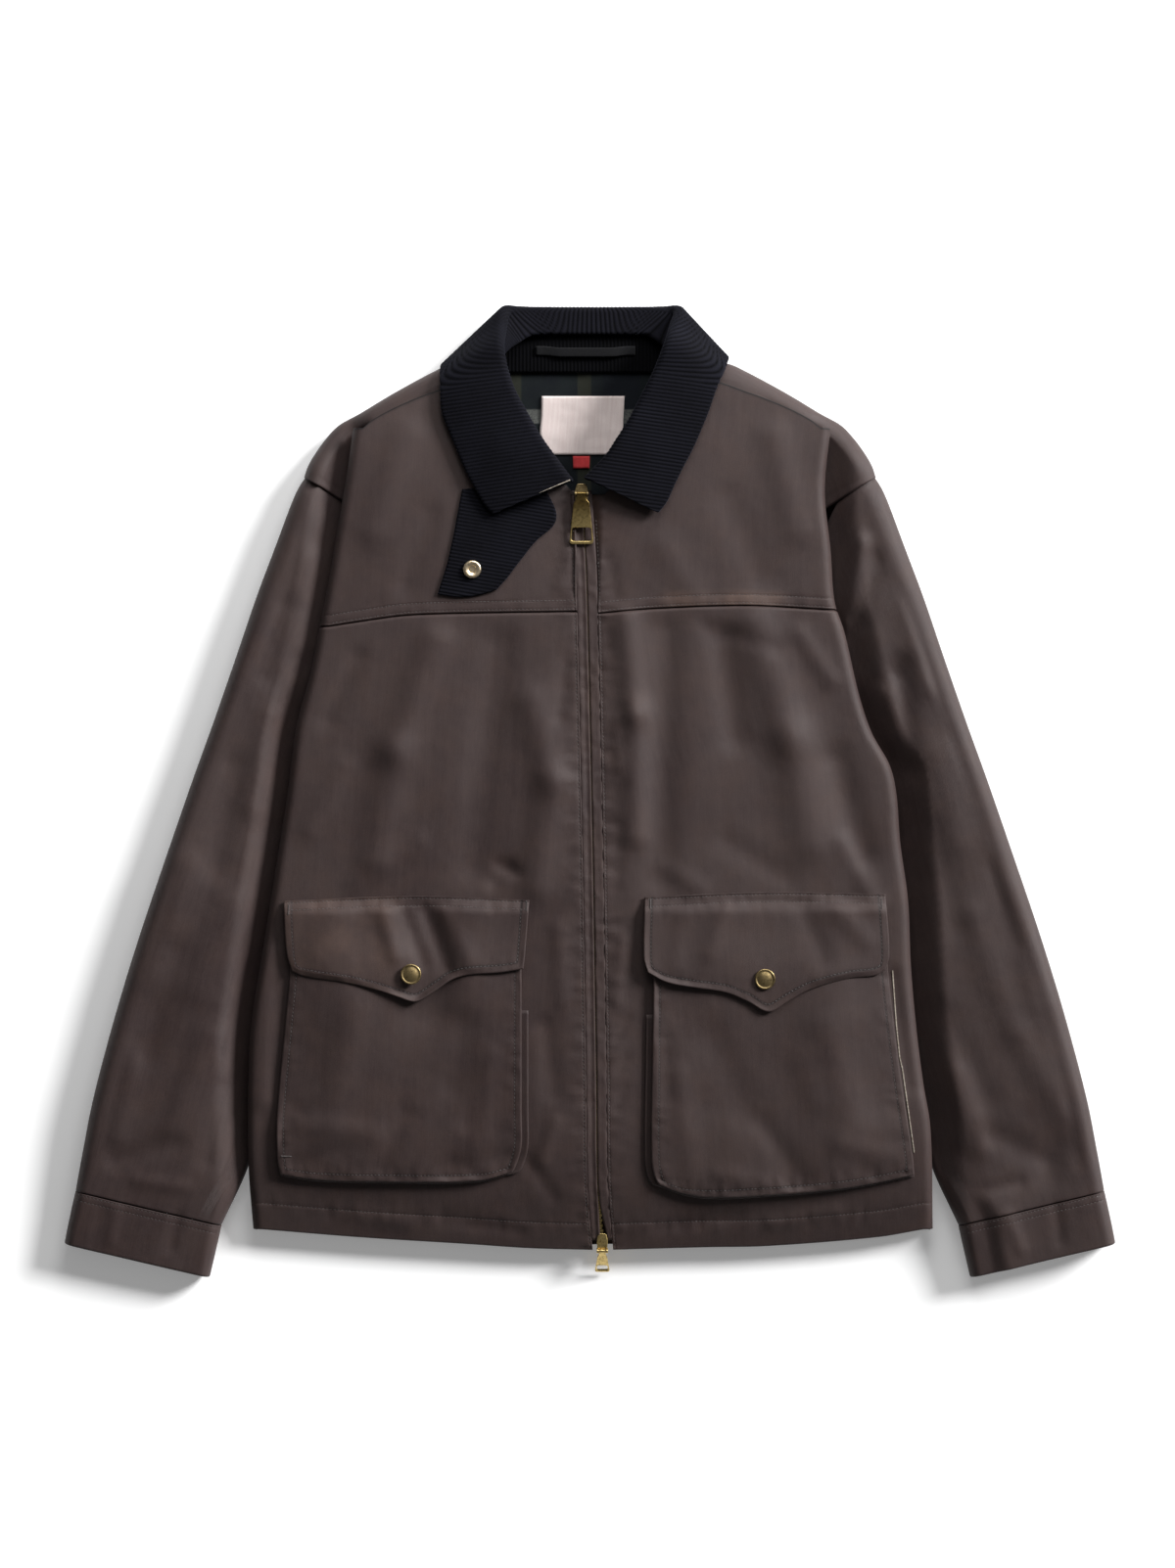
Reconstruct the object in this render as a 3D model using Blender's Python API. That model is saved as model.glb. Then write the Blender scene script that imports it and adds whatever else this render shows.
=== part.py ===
"""A waxed cotton jacket, laid flat on its back with the sleeves beside it.

Lengths are in millimetres and become metres in solid(). +X is the wearer's left, +Y points to
the collar and +Z up from the surface that the jacket lies on. Sideways places in the tables are
distances from the centre plane, so one table serves both sides; SIGN turns them into X.
Each cloth piece is a grid of points on its outer face, thickened inwards. Where two pieces are
sewn, one laps over the other with the gap SEAM between them.
"""
import math

import bmesh
import bpy
from mathutils import Vector

MM = 0.001
CLOTH = 2.0
CORD_CLOTH = 2.4
TAPE = 1.2
SEAM = 0.3
CLEAR = 0.5
LAP = CLOTH + CLEAR
YOKE_STEP = CLOTH + 0.7

SIGN = {"right": -1, "left": 1}


def table(columns, *rows):
    """A short table: one dict of named columns for each row."""
    names = columns.split()
    return [dict(zip(names, row)) for row in rows]


# ---- driving sizes -------------------------------------------------------------------------
BODY_CROWN = 4.0
BODY_HALF_WIDTH = 270.0
FOLD_RADIUS = 8.0
FRONT_EDGE = 8.4
SLEEVE_TOP = 29.0
SHOULDER_REACH = 13.0
VALLEY_WIDTH = 30.0
SIDE_RAMP = 31.0
SIDE_INSET = 5.0
UNDERARM_Y = 31.0

# Height of the front's outer face along the middle of each half.
LOFT = table(
    "y top",
    (-376, 10.5), (-350, 17.5), (-320, 24.0), (-270, 28.5), (-100, 30.5),
    (100, 31.0), (200, 31.5), (280, 31.0), (310, 29.5), (345, 27.5))

# The fold that each front makes beside the sleeve: its distance from the centre plane.
FOLD_EDGE = {
    "right": table(
        "y edge",
        (-357, 276.0), (-305, 279.0), (-235, 279.0), (-188, 276.4), (-122, 266.0),
        (-72, 258.0), (0, 246.8), (54, 239.6), (96, 228.4), (136, 220.4), (168, 214.0),
        (220, 205.2), (253, 199.6), (297, 193.0)),
    "left": table(
        "y edge",
        (-357, 281.0), (-273, 278.0), (-238, 272.4), (-195, 266.8), (-142, 262.0),
        (-88, 259.6), (-40, 253.2), (0, 250.0), (23, 244.4), (49, 230.0), (80, 219.6),
        (131, 207.6), (156, 199.6), (197, 196.4), (246, 191.6), (297, 196.0)),
}

# Under that fold: low is the curled face of the front, under the top of what lies below it,
# turn the angle in degrees at which the curl ends, and tail its straight run after that.
FOLD_HEIGHT = table(
    "y low under turn tail",
    (-357, 3.0, 8.0, -90, 6), (-330, 8.0, 12.0, -90, 8), (-305, 13.0, 12.0, -90, 9),
    (-285, 15.3, 12.0, -90, 10), (30, 15.3, 12.0, -90, 10), (60, 15.3, 12.1, -90, 10),
    (95, 17.3, 16.2, -90, 10), (240, 17.3, 16.2, -90, 10), (258, 17.4, 16.0, -90, 8),
    (280, 18.2, 16.7, -30, 4), (297, 19.5, 20.0, 40, 2))

# Lower edge of the fronts and the yoke seam, by the share s of the way from zip to fold.
HEM = {
    "right": table("s y", (0, -374.4), (.2, -372.8), (.37, -369.6), (.7, -364), (1, -357.5)),
    "left": table("s y", (0, -374.2), (.3, -372.2), (.5, -371.2), (.85, -364), (1, -357.5)),
}
YOKE_SEAM = {
    "right": table("s y", (0, 148), (.5, 146.4), (.7, 144.8), (.85, 140.8), (1, 136)),
    "left": table("s y", (0, 146.4), (.25, 150.4), (.65, 152.8), (1, 149.6)),
}

# Top of each yoke: neckline to the neck point, then the forward shoulder seam to the fold.
YOKE_TOP = table(
    "s x y",
    (0, 12, 243), (.12, 30, 262), (.24, 52, 292), (.34, 74, 322), (.42, 92, 336),
    (.6, 129, 326.4), (.78, 163, 314), (.92, 184, 304), (1, 193, 297))

# Shoulder roll of the back: its outline point and where it ends under the yoke or the fold.
WRAP = table(
    "sx sy ex ey",
    (92, 352, 92, 330), (112, 351.5, 110, 325), (128.5, 344.5, 128, 319.5),
    (160, 327.5, 156, 308), (186, 312, 180, 297), (205, 301.8, 188, 284),
    (216, 290.5, 189, 270), (225.5, 277, 187, 257), (231, 267, 185, 243), (234, 258, 186, 228))

# The armhole, from the underarm (w 0) to the shoulder tip (w 1).
ARMHOLE = table(
    "w x y",
    (0, 176, 42), (.15, 182, 70), (.3, 186, 105), (.5, 189, 150), (.7, 193, 196),
    (.85, 205, 229), (.94, 219, 246), (1, 233, 257))

# Sleeve rings from inside the armhole to the cuff seam: outer end, inner end, how much of the
# armhole's bow the ring keeps, and how far it is drawn in under the body's edge.
SLEEVE_RINGS = table(
    "ox oy ix iy bow drawn_in",
    (225.5, 260, 171, 47, 1.0, 1.7), (234, 252, 178, 37, 1.0, 1.4),
    (243, 240, 182, 26, .9, .25), (258, 200, 188, 13, .65, 0), (273, 160, 194, 0, .4, 0),
    (290, 110, 201, -16, .2, 0), (308, 58, 209, -38, .08, 0), (326, 8, 218, -68, 0, 0),
    (348, -56, 230, -112, 0, 0), (369.5, -120, 243, -160, 0, 0), (389, -184, 257, -212, 0, 0),
    (406, -248, 271, -265, 0, 0), (414.5, -290, 280, -306, 0, 0),
    (421, -325, 301.5, -353.5, 0, 0))
CUFF_RINGS = table(
    "ox oy ix iy bow drawn_in",
    (421.2, -325.9, 301.7, -354.4, 0, 0), (424, -338, 304.5, -367, 0, 0),
    (427.5, -354, 308, -382, 0, 0), (430.5, -369, 311.5, -397, 0, 0))
SLEEVE_LOFT = table("y top", (-400, 19.0), (-355, 22.5), (-300, 26.0), (-220, 29.0), (300, 29.0))
EDGE_ROUND = 0.42

# Soft folds of the fronts and sleeves: ridge (+) or trough (-) along a line of two points.
FOLDS = table(
    "x0 y0 x1 y1 width depth",
    (-125, 122, -158, 35, 15, 3.5), (-158, 35, -174, -52, 15, 3.0),
    (-47, 74, -31, 10, 14, 3.0), (-31, 10, -43, -75, 14, 3.0),
    (-75, 120, -95, -60, 16, -2.5), (29, 140, 36, 64, 11, 3.5), (36, 64, 36, -33, 12, 3.0),
    (62, 130, 58, -70, 13, -2.5), (134, 138, 163, 45, 18, 4.0), (163, 45, 180, -40, 18, 3.5),
    (107, 122, 118, 45, 13, -2.5), (201, 26, 222, -52, 13, -3.0),
    (253, 103, 261, 17, 10, -3.0), (261, 17, 267, -69, 10, -2.5),
    (298, -314, 300, -300, 14, -2.0), (374, -311, 380, -290, 14, -2.0),
    (-330, -60, -352, -150, 16, 2.0), (352, -80, 372, -170, 16, 2.0),
    (-60, -330, -80, -250, 26, -1.5), (80, -335, 96, -260, 26, -1.5))

ZIP_LINE = table(
    "y x", (-376, 10.8), (-340, 7.6), (-312, 6.0), (-232, 5.2), (-72, 2.8), (8, 1.2),
    (148, -2.0), (192, -3.6), (252, -7.6))
ZIP_HALF = 2.8
ZIP_TEETH = 2.4
ZIP_TOP = 231.0
ZIP_BOTTOM = -359.6
TAPE_REACH = 13.0
TAPE_CLEAR = 0.8

PANEL_ACROSS = (0, .08, .17, .27, .37, .47, .57, .67, .77, .86, .94, 1)
PANEL_ALONG = (0, .03, .08, .14, .21, .28, .35, .42, .49, .56, .63, .70, .77, .84, .90, .95, 1)
SEAM_ROWS = (-8.0, 0.0, 10.0)
YOKE_ALONG = (0, .08, .2, .34, .5, .66, .82, .93, 1)
CURL_STEPS = 5


# ---- reading the tables --------------------------------------------------------------------
def mix(a, b, t):
    return a + (b - a) * t


def smooth(t):
    t = min(max(t, 0.0), 1.0)
    return t * t * (3 - 2 * t)


def slope(rows, key, column, i):
    """Tangent at row i, through its neighbours."""
    low = rows[max(i - 1, 0)]
    high = rows[min(i + 1, len(rows) - 1)]
    return (high[column] - low[column]) / (high[key] - low[key])


def read(rows, key, value, column):
    """Value of a column on a smooth curve through the table's rows."""
    if value <= rows[0][key]:
        return rows[0][column]
    if value >= rows[-1][key]:
        return rows[-1][column]
    i = max(k for k in range(len(rows) - 1) if rows[k][key] <= value)
    a, b = rows[i], rows[i + 1]
    run = b[key] - a[key]
    t = (value - a[key]) / run
    rise_a = slope(rows, key, column, i) * run
    rise_b = slope(rows, key, column, i + 1) * run
    h = t * t * (3 - 2 * t)
    return (a[column] * (1 - h) + b[column] * h
            + rise_a * t * (1 - t) ** 2 - rise_b * t * t * (1 - t))


# ---- the jacket's surfaces -----------------------------------------------------------------
def fold_height(x, y):
    """Sum of the soft folds at a point."""
    total = 0.0
    for row in FOLDS:
        run = Vector((row["x1"] - row["x0"], row["y1"] - row["y0"]))
        off = Vector((x - row["x0"], y - row["y0"]))
        t = min(max(off.dot(run) / run.length_squared, 0), 1)
        gap = (off - run * t).length / row["width"]
        if gap < 3:
            total += row["depth"] * math.exp(-gap * gap)
    return total


def body_top(x, y):
    """Height of the outer face of the fronts, away from the side folds."""
    crown = BODY_CROWN * (1 - (x / BODY_HALF_WIDTH) ** 2)
    return read(LOFT, "y", y, "top") + crown + fold_height(x, y)


def fold_edge(side, y):
    return read(FOLD_EDGE[side], "y", y, "edge")


def fold(y, column):
    return read(FOLD_HEIGHT, "y", y, column)


def outside_top(side, x, y):
    """Height of the outer face beside the fold: a valley at the fold, then the sleeve."""
    reach = (abs(x) - fold_edge(side, y) + 2) / VALLEY_WIDTH
    top = read(SLEEVE_LOFT, "y", y, "top")
    low = fold(y, "under")
    return mix(low, top + fold_height(x, y), smooth(reach))


def zip_x(y):
    return read(ZIP_LINE, "y", y, "x")


def front_edge_x(side, y):
    return zip_x(y) + SIGN[side] * FRONT_EDGE


def front_inset(side, s, y):
    """How far the front is drawn in to pass under the yoke's lower edge."""
    seam = read(YOKE_SEAM[side], "s", s, "y")
    return YOKE_STEP * smooth((y - seam + 36) / 26)


def front_row(side, spots, inset):
    """Points across a front: spots are (s, x, y) from zip to fold, then the curl follows."""
    sign = SIGN[side]
    points = [Vector((x, y, body_top(x, y) - inset(s, y))) for s, x, y in spots]
    last = points[-1]
    y = last.y
    drawn = inset(1, y)
    low = fold(y, "low")
    tall = (last.z + drawn - low) / 2
    centre = last.z + drawn - tall
    turn = math.radians(fold(y, "turn"))
    for step in range(1, CURL_STEPS + 1):
        angle = mix(math.pi / 2, turn, step / CURL_STEPS)
        across = (FOLD_RADIUS - drawn) * math.cos(angle)
        rise = (tall - drawn) * math.sin(angle)
        points.append(Vector((last.x + sign * across, y, centre + rise)))
    end = points[-1]
    tail = fold(y, "tail")
    along = Vector((sign * math.sin(turn), 0, -math.cos(turn)))
    points.append(end + along * tail)
    return points


def fold_start_x(side, y):
    return SIGN[side] * (fold_edge(side, y) - FOLD_RADIUS)


# ---- making solids -------------------------------------------------------------------------
def material(name, colour, roughness, metallic=0.0):
    """A plain finish for one kind of piece."""
    found = bpy.data.materials.get(name)
    if found:
        return found
    made = bpy.data.materials.new(name)
    made.use_nodes = True
    shader = made.node_tree.nodes["Principled BSDF"]
    shader.inputs["Base Color"].default_value = (*colour, 1)
    shader.inputs["Roughness"].default_value = roughness
    shader.inputs["Metallic"].default_value = metallic
    return made


def waxed():
    return material("waxed_cotton", (0.075, 0.05, 0.048), 0.55)


def corduroy():
    return material("corduroy", (0.012, 0.012, 0.018), 0.9)


def checked():
    return material("lining_cotton", (0.02, 0.022, 0.028), 0.85)


def woven_tape():
    return material("woven_tape", (0.04, 0.03, 0.028), 0.8)


def label_cloth():
    return material("label_cloth", (0.75, 0.68, 0.64), 0.8)


def tag_cloth():
    return material("tag_cloth", (0.25, 0.04, 0.05), 0.8)


def brass():
    return material("brass", (0.55, 0.40, 0.16), 0.35, 1.0)


def antique_brass():
    return material("antique_brass", (0.28, 0.21, 0.10), 0.4, 1.0)


def solid(name, bm, finish, origin=Vector((0, 0, 0))):
    """Put a bmesh in millimetres into the scene as one object in metres."""
    bmesh.ops.recalc_face_normals(bm, faces=bm.faces)
    for vert in bm.verts:
        vert.co = (vert.co - origin) * MM
    mesh = bpy.data.meshes.new(name)
    bm.to_mesh(mesh)
    bm.free()
    mesh.shade_smooth()
    mesh.set_sharp_from_angle(angle=math.radians(40))
    mesh.materials.append(finish)
    piece = bpy.data.objects.new(name, mesh)
    piece.location = origin * MM
    bpy.context.scene.collection.objects.link(piece)
    return piece


def skin(grids):
    """Join grids of points, which may share edges, into one open surface."""
    places, index, faces = [], {}, []

    def vertex(point):
        key = tuple(round(c, 3) for c in point)
        if key not in index:
            index[key] = len(places)
            places.append(Vector(point))
        return index[key]

    for grid in grids:
        ids = [[vertex(point) for point in row] for row in grid]
        for row_a, row_b in zip(ids, ids[1:]):
            for i in range(len(row_a) - 1):
                corners = [row_a[i], row_a[i + 1], row_b[i + 1], row_b[i]]
                kept = [c for k, c in enumerate(corners) if c != corners[k - 1]]
                if len(kept) > 2:
                    faces.append(kept)
    return places, faces


def cloth(name, grids, thick, finish, inward):
    """Thicken an open surface into a closed wall; inward points from its first face's outer
    side towards its inner side."""
    places, faces = skin(grids)
    bm = bmesh.new()
    outer = [bm.verts.new(p) for p in places]
    for face in faces:
        bm.faces.new([outer[i] for i in face])
    bmesh.ops.recalc_face_normals(bm, faces=bm.faces)
    bm.normal_update()
    bm.faces.ensure_lookup_table()
    turn = 1 if bm.faces[0].normal.dot(Vector(inward)) > 0 else -1
    inner = [bm.verts.new(v.co + v.normal * turn * thick) for v in outer]
    rims = [e for e in bm.edges if len(e.link_faces) == 1]
    partner = dict(zip(outer, inner))
    for face in list(bm.faces):
        bm.faces.new([partner[v] for v in reversed(face.verts)])
    for edge in rims:
        a, b = edge.verts
        bm.faces.new((a, b, partner[b], partner[a]))
    return solid(name, bm, finish)


# ---- back ----------------------------------------------------------------------------------
NECK_BACK = table("x y", (-60, 345), (-30, 343), (0, 342), (30, 343), (60, 345))
BACK_ROWS = (-372, -340, -305, -285, -212, -160, -112, -68, -30, 0, UNDERARM_Y)
ARMHOLE_ROWS = (42, 70, 105, 150, 196, 228)
SIDE_STEPS = (0, .3, .65, 1)
ARC_STEPS = 4
WRAP_STEPS = (.3, .55, .8, 1)
SLEEVE_INNER = table(
    "y x", (-357, 279), (-306, 280), (-265, 271), (-212, 257), (-160, 243), (-112, 230),
    (-68, 218), (-38, 209), (-16, 201), (0, 194), (13, 188), (31, 180))


def sleeve_inner_x(y):
    return read(SLEEVE_INNER, "y", y, "x")


def ramp_foot(y):
    """Where the back starts to rise over the sleeve that lies under it."""
    if y < -250:
        return mix(240, sleeve_inner_x(-250) - SIDE_RAMP - 2, smooth((y + 357) / 107))
    return sleeve_inner_x(y) - SIDE_RAMP - 2


def back_side_x(side, y):
    return fold_edge(side, y) - SIDE_INSET


def back_hem_y(x):
    """The back's lower edge, a little above the front's."""
    side = "right" if x < 0 else "left"
    return read(HEM[side], "s", abs(x) / back_side_x(side, -357), "y") + 3


def back_side_patch(side):
    """The back's side, which climbs over the tucked sleeve to the side seam."""
    grid = []
    for y in BACK_ROWS:
        foot = ramp_foot(y)
        edge = back_side_x(side, y)
        lift = max(fold(y, "low") - LAP, 0)
        ramp = min(SIDE_RAMP, edge - foot - 3)
        row = []
        for step in SIDE_STEPS:
            x = foot + ramp * step
            row.append(Vector((SIGN[side] * x, y, lift * smooth(step))))
        row.append(Vector((SIGN[side] * edge, y, lift)))
        if y == BACK_ROWS[0]:
            for point in row:
                point.y = back_hem_y(point.x)
        grid.append(row)
    return grid


def wrap_path(side, row):
    """From the flat of the back, round the shoulder and forward to where the roll ends."""
    sign = SIGN[side]
    edge = Vector((sign * row["sx"], row["sy"]))
    end = Vector((sign * row["ex"], row["ey"]))
    inward = (end - edge).normalized()
    under_yoke = row["ey"] > fold_edge_top(side) - 2
    if under_yoke:
        end_z = body_top(end.x, end.y) - LAP - 0.3
    else:
        end_z = fold(end.y, "under")
    crest = edge + inward * SHOULDER_REACH
    tall = crest_height(side, crest, under_yoke)
    points = []
    for step in range(ARC_STEPS + 1):
        angle = mix(-math.pi / 2, math.pi / 2, step / ARC_STEPS)
        place = edge + inward * SHOULDER_REACH * (1 - math.cos(angle))
        points.append(Vector((*place, tall / 2 * (1 + math.sin(angle)))))
    for share in WRAP_STEPS:
        place = crest.lerp(end, share)
        z = mix(tall, end_z, share) if under_yoke else outside_top(side, place.x, place.y)
        points.append(Vector((*place, z if share < 1 else end_z)))
    return points


def fold_edge_top(side):
    return FOLD_EDGE[side][-1]["y"]


def crest_height(side, crest, under_yoke):
    """Height of the shoulder where its roll turns into the top."""
    if under_yoke:
        return 27.0
    return outside_top(side, crest.x, crest.y)


def armhole_x(y):
    """Distance of the armhole from the centre plane at a height on the back."""
    rows = [dict(y=row["y"], x=row["x"]) for row in ARMHOLE]
    return read(rows, "y", y, "x")


def back_middle_patch(tops):
    """The flat of the back: fixed shares across, from hem to the top points."""
    span = tops[-1].x
    shares = [top.x / span for top in tops]
    grid = []
    for y in BACK_ROWS + ARMHOLE_ROWS:
        if y <= UNDERARM_Y:
            half = ramp_foot(y)
        else:
            half = mix(ramp_foot(UNDERARM_Y), armhole_x(y), smooth((y - UNDERARM_Y) / 10))
        row = [Vector((share * half, y, 0)) for share in shares]
        if y == BACK_ROWS[0]:
            for point in row:
                point.y = back_hem_y(point.x)
        grid.append(row)
    grid.append(tops)
    return grid


def back_panel():
    wraps = {side: [wrap_path(side, row) for row in WRAP] for side in SIGN}
    neck = [Vector((row["x"], row["y"], 0)) for row in NECK_BACK]
    tops = [path[0] for path in reversed(wraps["right"])] + neck
    tops += [path[0] for path in wraps["left"]]
    grids = [back_middle_patch(tops)]
    for side in SIGN:
        grids.append(back_side_patch(side))
        grids.append(wraps[side])
    return cloth("back_panel", grids, CLOTH, waxed(), (0, 0, 1))


# ---- fronts and yokes ----------------------------------------------------------------------
def front_panel(side):
    def spot(s, y):
        return s, mix(front_edge_x(side, y), fold_start_x(side, y), s), y

    def row_y(s, v, past_seam):
        seam = read(YOKE_SEAM[side], "s", s, "y")
        return mix(read(HEM[side], "s", s, "y"), seam + past_seam, v)

    rows = [(v, SEAM_ROWS[0]) for v in PANEL_ALONG] + [(1, past) for past in SEAM_ROWS[1:]]
    grid = []
    for v, past in rows:
        spots = [spot(s, row_y(s, v, past)) for s in PANEL_ACROSS]
        grid.append(front_row(side, spots, lambda s, y: front_inset(side, s, y)))
    return cloth("front_panel_" + side, [grid], CLOTH, waxed(), (0, 0, -1))


def yoke_spot(side, s, v):
    """A point of the yoke between its seam and its neck and shoulder edge."""
    low_y = read(YOKE_SEAM[side], "s", s, "y")
    low_x = mix(front_edge_x(side, low_y), fold_start_x(side, low_y), s)
    top = Vector((read(YOKE_TOP, "s", s, "x"), read(YOKE_TOP, "s", s, "y")))
    shift = fold_edge(side, top.y) - FOLD_EDGE["right"][-1]["edge"]
    top_x = SIGN[side] * (top.x + (shift - FOLD_RADIUS) * smooth((s - .5) / .5))
    if s == 0:
        y = mix(low_y, top.y, v)
        return front_edge_x(side, y), y
    y = mix(low_y, top.y, v)
    if s == 1:
        return fold_start_x(side, y), y
    near = front_edge_x(side, y)
    near -= mix(front_edge_x(side, low_y), front_edge_x(side, top.y), v)
    far = fold_start_x(side, y)
    far -= mix(fold_start_x(side, low_y), fold_start_x(side, top.y), v)
    return mix(low_x, top_x, v) + mix(near, far, s), y


def front_yoke(side):
    grid = []
    for v in YOKE_ALONG:
        spots = [(s, *yoke_spot(side, s, v)) for s in PANEL_ACROSS]
        grid.append(front_row(side, spots, lambda s, y: 0.0))
    return cloth("front_yoke_" + side, [grid], CLOTH, waxed(), (0, 0, -1))


# ---- sleeves -------------------------------------------------------------------------------
BOTTOM_SHARES = (0, .25, .5, .75, 1)
PLATEAU_STEPS = 4
RISE_STEPS = 3
TUCK_STEPS = 2
OUTER_ARC = (-60, -25, 10, 45)
INNER_ARC = (135, 180, 225)


def ring_place(row, w):
    """Plan place on a sleeve ring, w from its inner end (0) to its outer end (1)."""
    straight = Vector((row["ix"], row["iy"])).lerp(Vector((row["ox"], row["oy"])), w)
    first, last = ARMHOLE[0], ARMHOLE[-1]
    chord = Vector((first["x"], first["y"])).lerp(Vector((last["x"], last["y"])), w)
    curve = Vector((read(ARMHOLE, "w", w, "x"), read(ARMHOLE, "w", w, "y")))
    return straight + (curve - chord) * row["bow"]


def fold_crossing(side, row, inner_w, outer_w):
    """Where the front's fold crosses over a ring, or just past its inner end."""
    for step in range(1, 60):
        w = mix(inner_w, outer_w, step / 60)
        place = ring_place(row, w)
        if place.x > fold_edge(side, place.y) - 2:
            return max(w, mix(inner_w, outer_w, 0.1))
    return mix(inner_w, outer_w, 0.7)


def ring_section(side, row):
    """Closed section of a sleeve: a flat underside, rounded ends and a soft top."""
    sign = SIGN[side]
    drawn = LAP * row["drawn_in"]
    sole = min(drawn, LAP + SEAM)
    length = (Vector((row["ox"], row["oy"])) - Vector((row["ix"], row["iy"]))).length

    def top(w):
        place = ring_place(row, w)
        return outside_top(side, sign * place.x, place.y) - drawn

    tall_in = top(EDGE_ROUND * 12 / length)
    in_reach = EDGE_ROUND * tall_in / length
    tall_out = top(1 - EDGE_ROUND * SLEEVE_TOP / length)
    out_reach = EDGE_ROUND * tall_out / length

    def point(w, z):
        place = ring_place(row, w)
        return Vector((sign * place.x, place.y, z))

    def end_arc(angles, w_centre, reach, tall):
        middle = (tall + sole) / 2
        half = (tall - sole) / 2
        arc = []
        for angle in angles:
            turn = math.radians(angle)
            arc.append(point(w_centre + reach * math.cos(turn), middle + half * math.sin(turn)))
        return arc

    inner_w = in_reach
    outer_w = 1 - out_reach
    ring = [point(mix(inner_w, outer_w, share), sole) for share in BOTTOM_SHARES]
    ring += end_arc(OUTER_ARC, outer_w, out_reach, tall_out)
    foot = fold_crossing(side, row, inner_w, outer_w)
    brow = min(foot + VALLEY_WIDTH / length, mix(foot, outer_w, 0.6))
    stops = [mix(outer_w, brow, i / PLATEAU_STEPS) for i in range(PLATEAU_STEPS)]
    stops += [mix(brow, foot, i / RISE_STEPS) for i in range(RISE_STEPS)]
    stops += [mix(foot, inner_w, i / TUCK_STEPS) for i in range(TUCK_STEPS)]
    ring += [point(w, top(w)) for w in stops] + [point(inner_w, tall_in)]
    ring += end_arc(INNER_ARC, inner_w, in_reach, tall_in)
    ring.append(ring[0].copy())
    return ring


def sleeve(side):
    rings = [ring_section(side, row) for row in SLEEVE_RINGS]
    return cloth("sleeve_" + side, [rings], CLOTH, waxed(), (0, 0, 1))


def cuff(side):
    rings = [ring_section(side, row) for row in CUFF_RINGS]
    return cloth("cuff_" + side, [rings], CLOTH, waxed(), (0, 0, 1))


# ---- zip -----------------------------------------------------------------------------------
TAPE_ROWS = (
    -366, -345, -320, -290, -255, -220, -180, -140, -100, -60, -20, 20, 60, 90, 111, 124, 137,
    148, 159, 173, 190, 210, 231, 246)


def zip_level(y):
    """Height of the tapes' outer face: below the edges of the fronts and of the yokes."""
    seam = YOKE_SEAM["right"][0]["y"]
    dip = YOKE_STEP * smooth((y - seam + 38) / 26) * (1 - smooth((y - seam - 12) / 14))
    return body_top(zip_x(y), y) - dip - CLOTH - TAPE_CLEAR


def zip_strip(rows, offsets, rise):
    """Rows of points along the zip line, at sideways offsets from it."""
    return [[Vector((zip_x(y) + off, y, zip_level(y) + rise)) for off in offsets] for y in rows]


def zip_tape(side):
    offsets = [SIGN[side] * off for off in (0.4, TAPE_REACH / 2, TAPE_REACH)]
    grid = zip_strip(TAPE_ROWS, offsets, 0)
    return cloth("zip_tape_" + side, [grid], TAPE, woven_tape(), (0, 0, -1))


def zip_chain():
    rows = [ZIP_BOTTOM] + [y for y in TAPE_ROWS if ZIP_BOTTOM < y < ZIP_TOP - 4] + [ZIP_TOP]
    grid = zip_strip(rows, (-ZIP_HALF, ZIP_HALF), SEAM + ZIP_TEETH)
    return cloth("zip_chain", [grid], ZIP_TEETH, brass(), (0, 0, -1))


def cells(bm, xs, ys, zs, filled, place):
    """Closed surface round the filled cells of a lattice; place turns lattice points into mm."""
    verts = {}

    def vertex(i, j, k):
        if (i, j, k) not in verts:
            verts[i, j, k] = bm.verts.new(place(xs[i], ys[j], zs[k]))
        return verts[i, j, k]

    steps = {
        (1, 0, 0): ((1, 0, 0), (1, 1, 0), (1, 1, 1), (1, 0, 1)),
        (-1, 0, 0): ((0, 0, 0), (0, 0, 1), (0, 1, 1), (0, 1, 0)),
        (0, 1, 0): ((0, 1, 0), (0, 1, 1), (1, 1, 1), (1, 1, 0)),
        (0, -1, 0): ((0, 0, 0), (1, 0, 0), (1, 0, 1), (0, 0, 1)),
        (0, 0, 1): ((0, 0, 1), (1, 0, 1), (1, 1, 1), (0, 1, 1)),
        (0, 0, -1): ((0, 0, 0), (0, 1, 0), (1, 1, 0), (1, 0, 0)),
    }
    for i, j, k in filled:
        for (a, b, c), corners in steps.items():
            if (i + a, j + b, k + c) not in filled:
                bm.faces.new([vertex(i + p, j + q, k + r) for p, q, r in corners])


# Sliders and their pull tabs: centre and length of the slider along the zip, half width, height
# over the fronts, and the tab's length, half widths, slope at rest and hole.
SLIDERS = {
    "top": dict(y=241.8, long=19.0, half=5.6, high=2.7, hinge_y=243.0, rise=2.6, tab=41.0,
                tab_near=6.4, tab_far=10.0, slope=5.4, hole=(27.5, 36.5), hole_half=6.6),
    "bottom": dict(y=-368.3, long=16.0, half=4.6, high=1.5, hinge_y=-374.3, rise=3.9, tab=26.0,
                   tab_near=3.9, tab_far=6.2, slope=44.0, hole=(17.5, 23.0), hole_half=3.8),
}
EAR_HALF = 3.5
EAR_THICK = 1.5
EAR_OVER_HINGE = 1.8
BARREL_HALF = 1.5
TAB_HALF_THICK = 0.9


def slider_base(size):
    """Centre of a slider across the zip, and the height of its flat top."""
    y = size["y"]
    return zip_x(y), body_top(zip_x(y), y) + size["high"]


def hinge_place(size):
    x, top = slider_base(size)
    return Vector((x, size["hinge_y"], top + size["rise"]))


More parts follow.
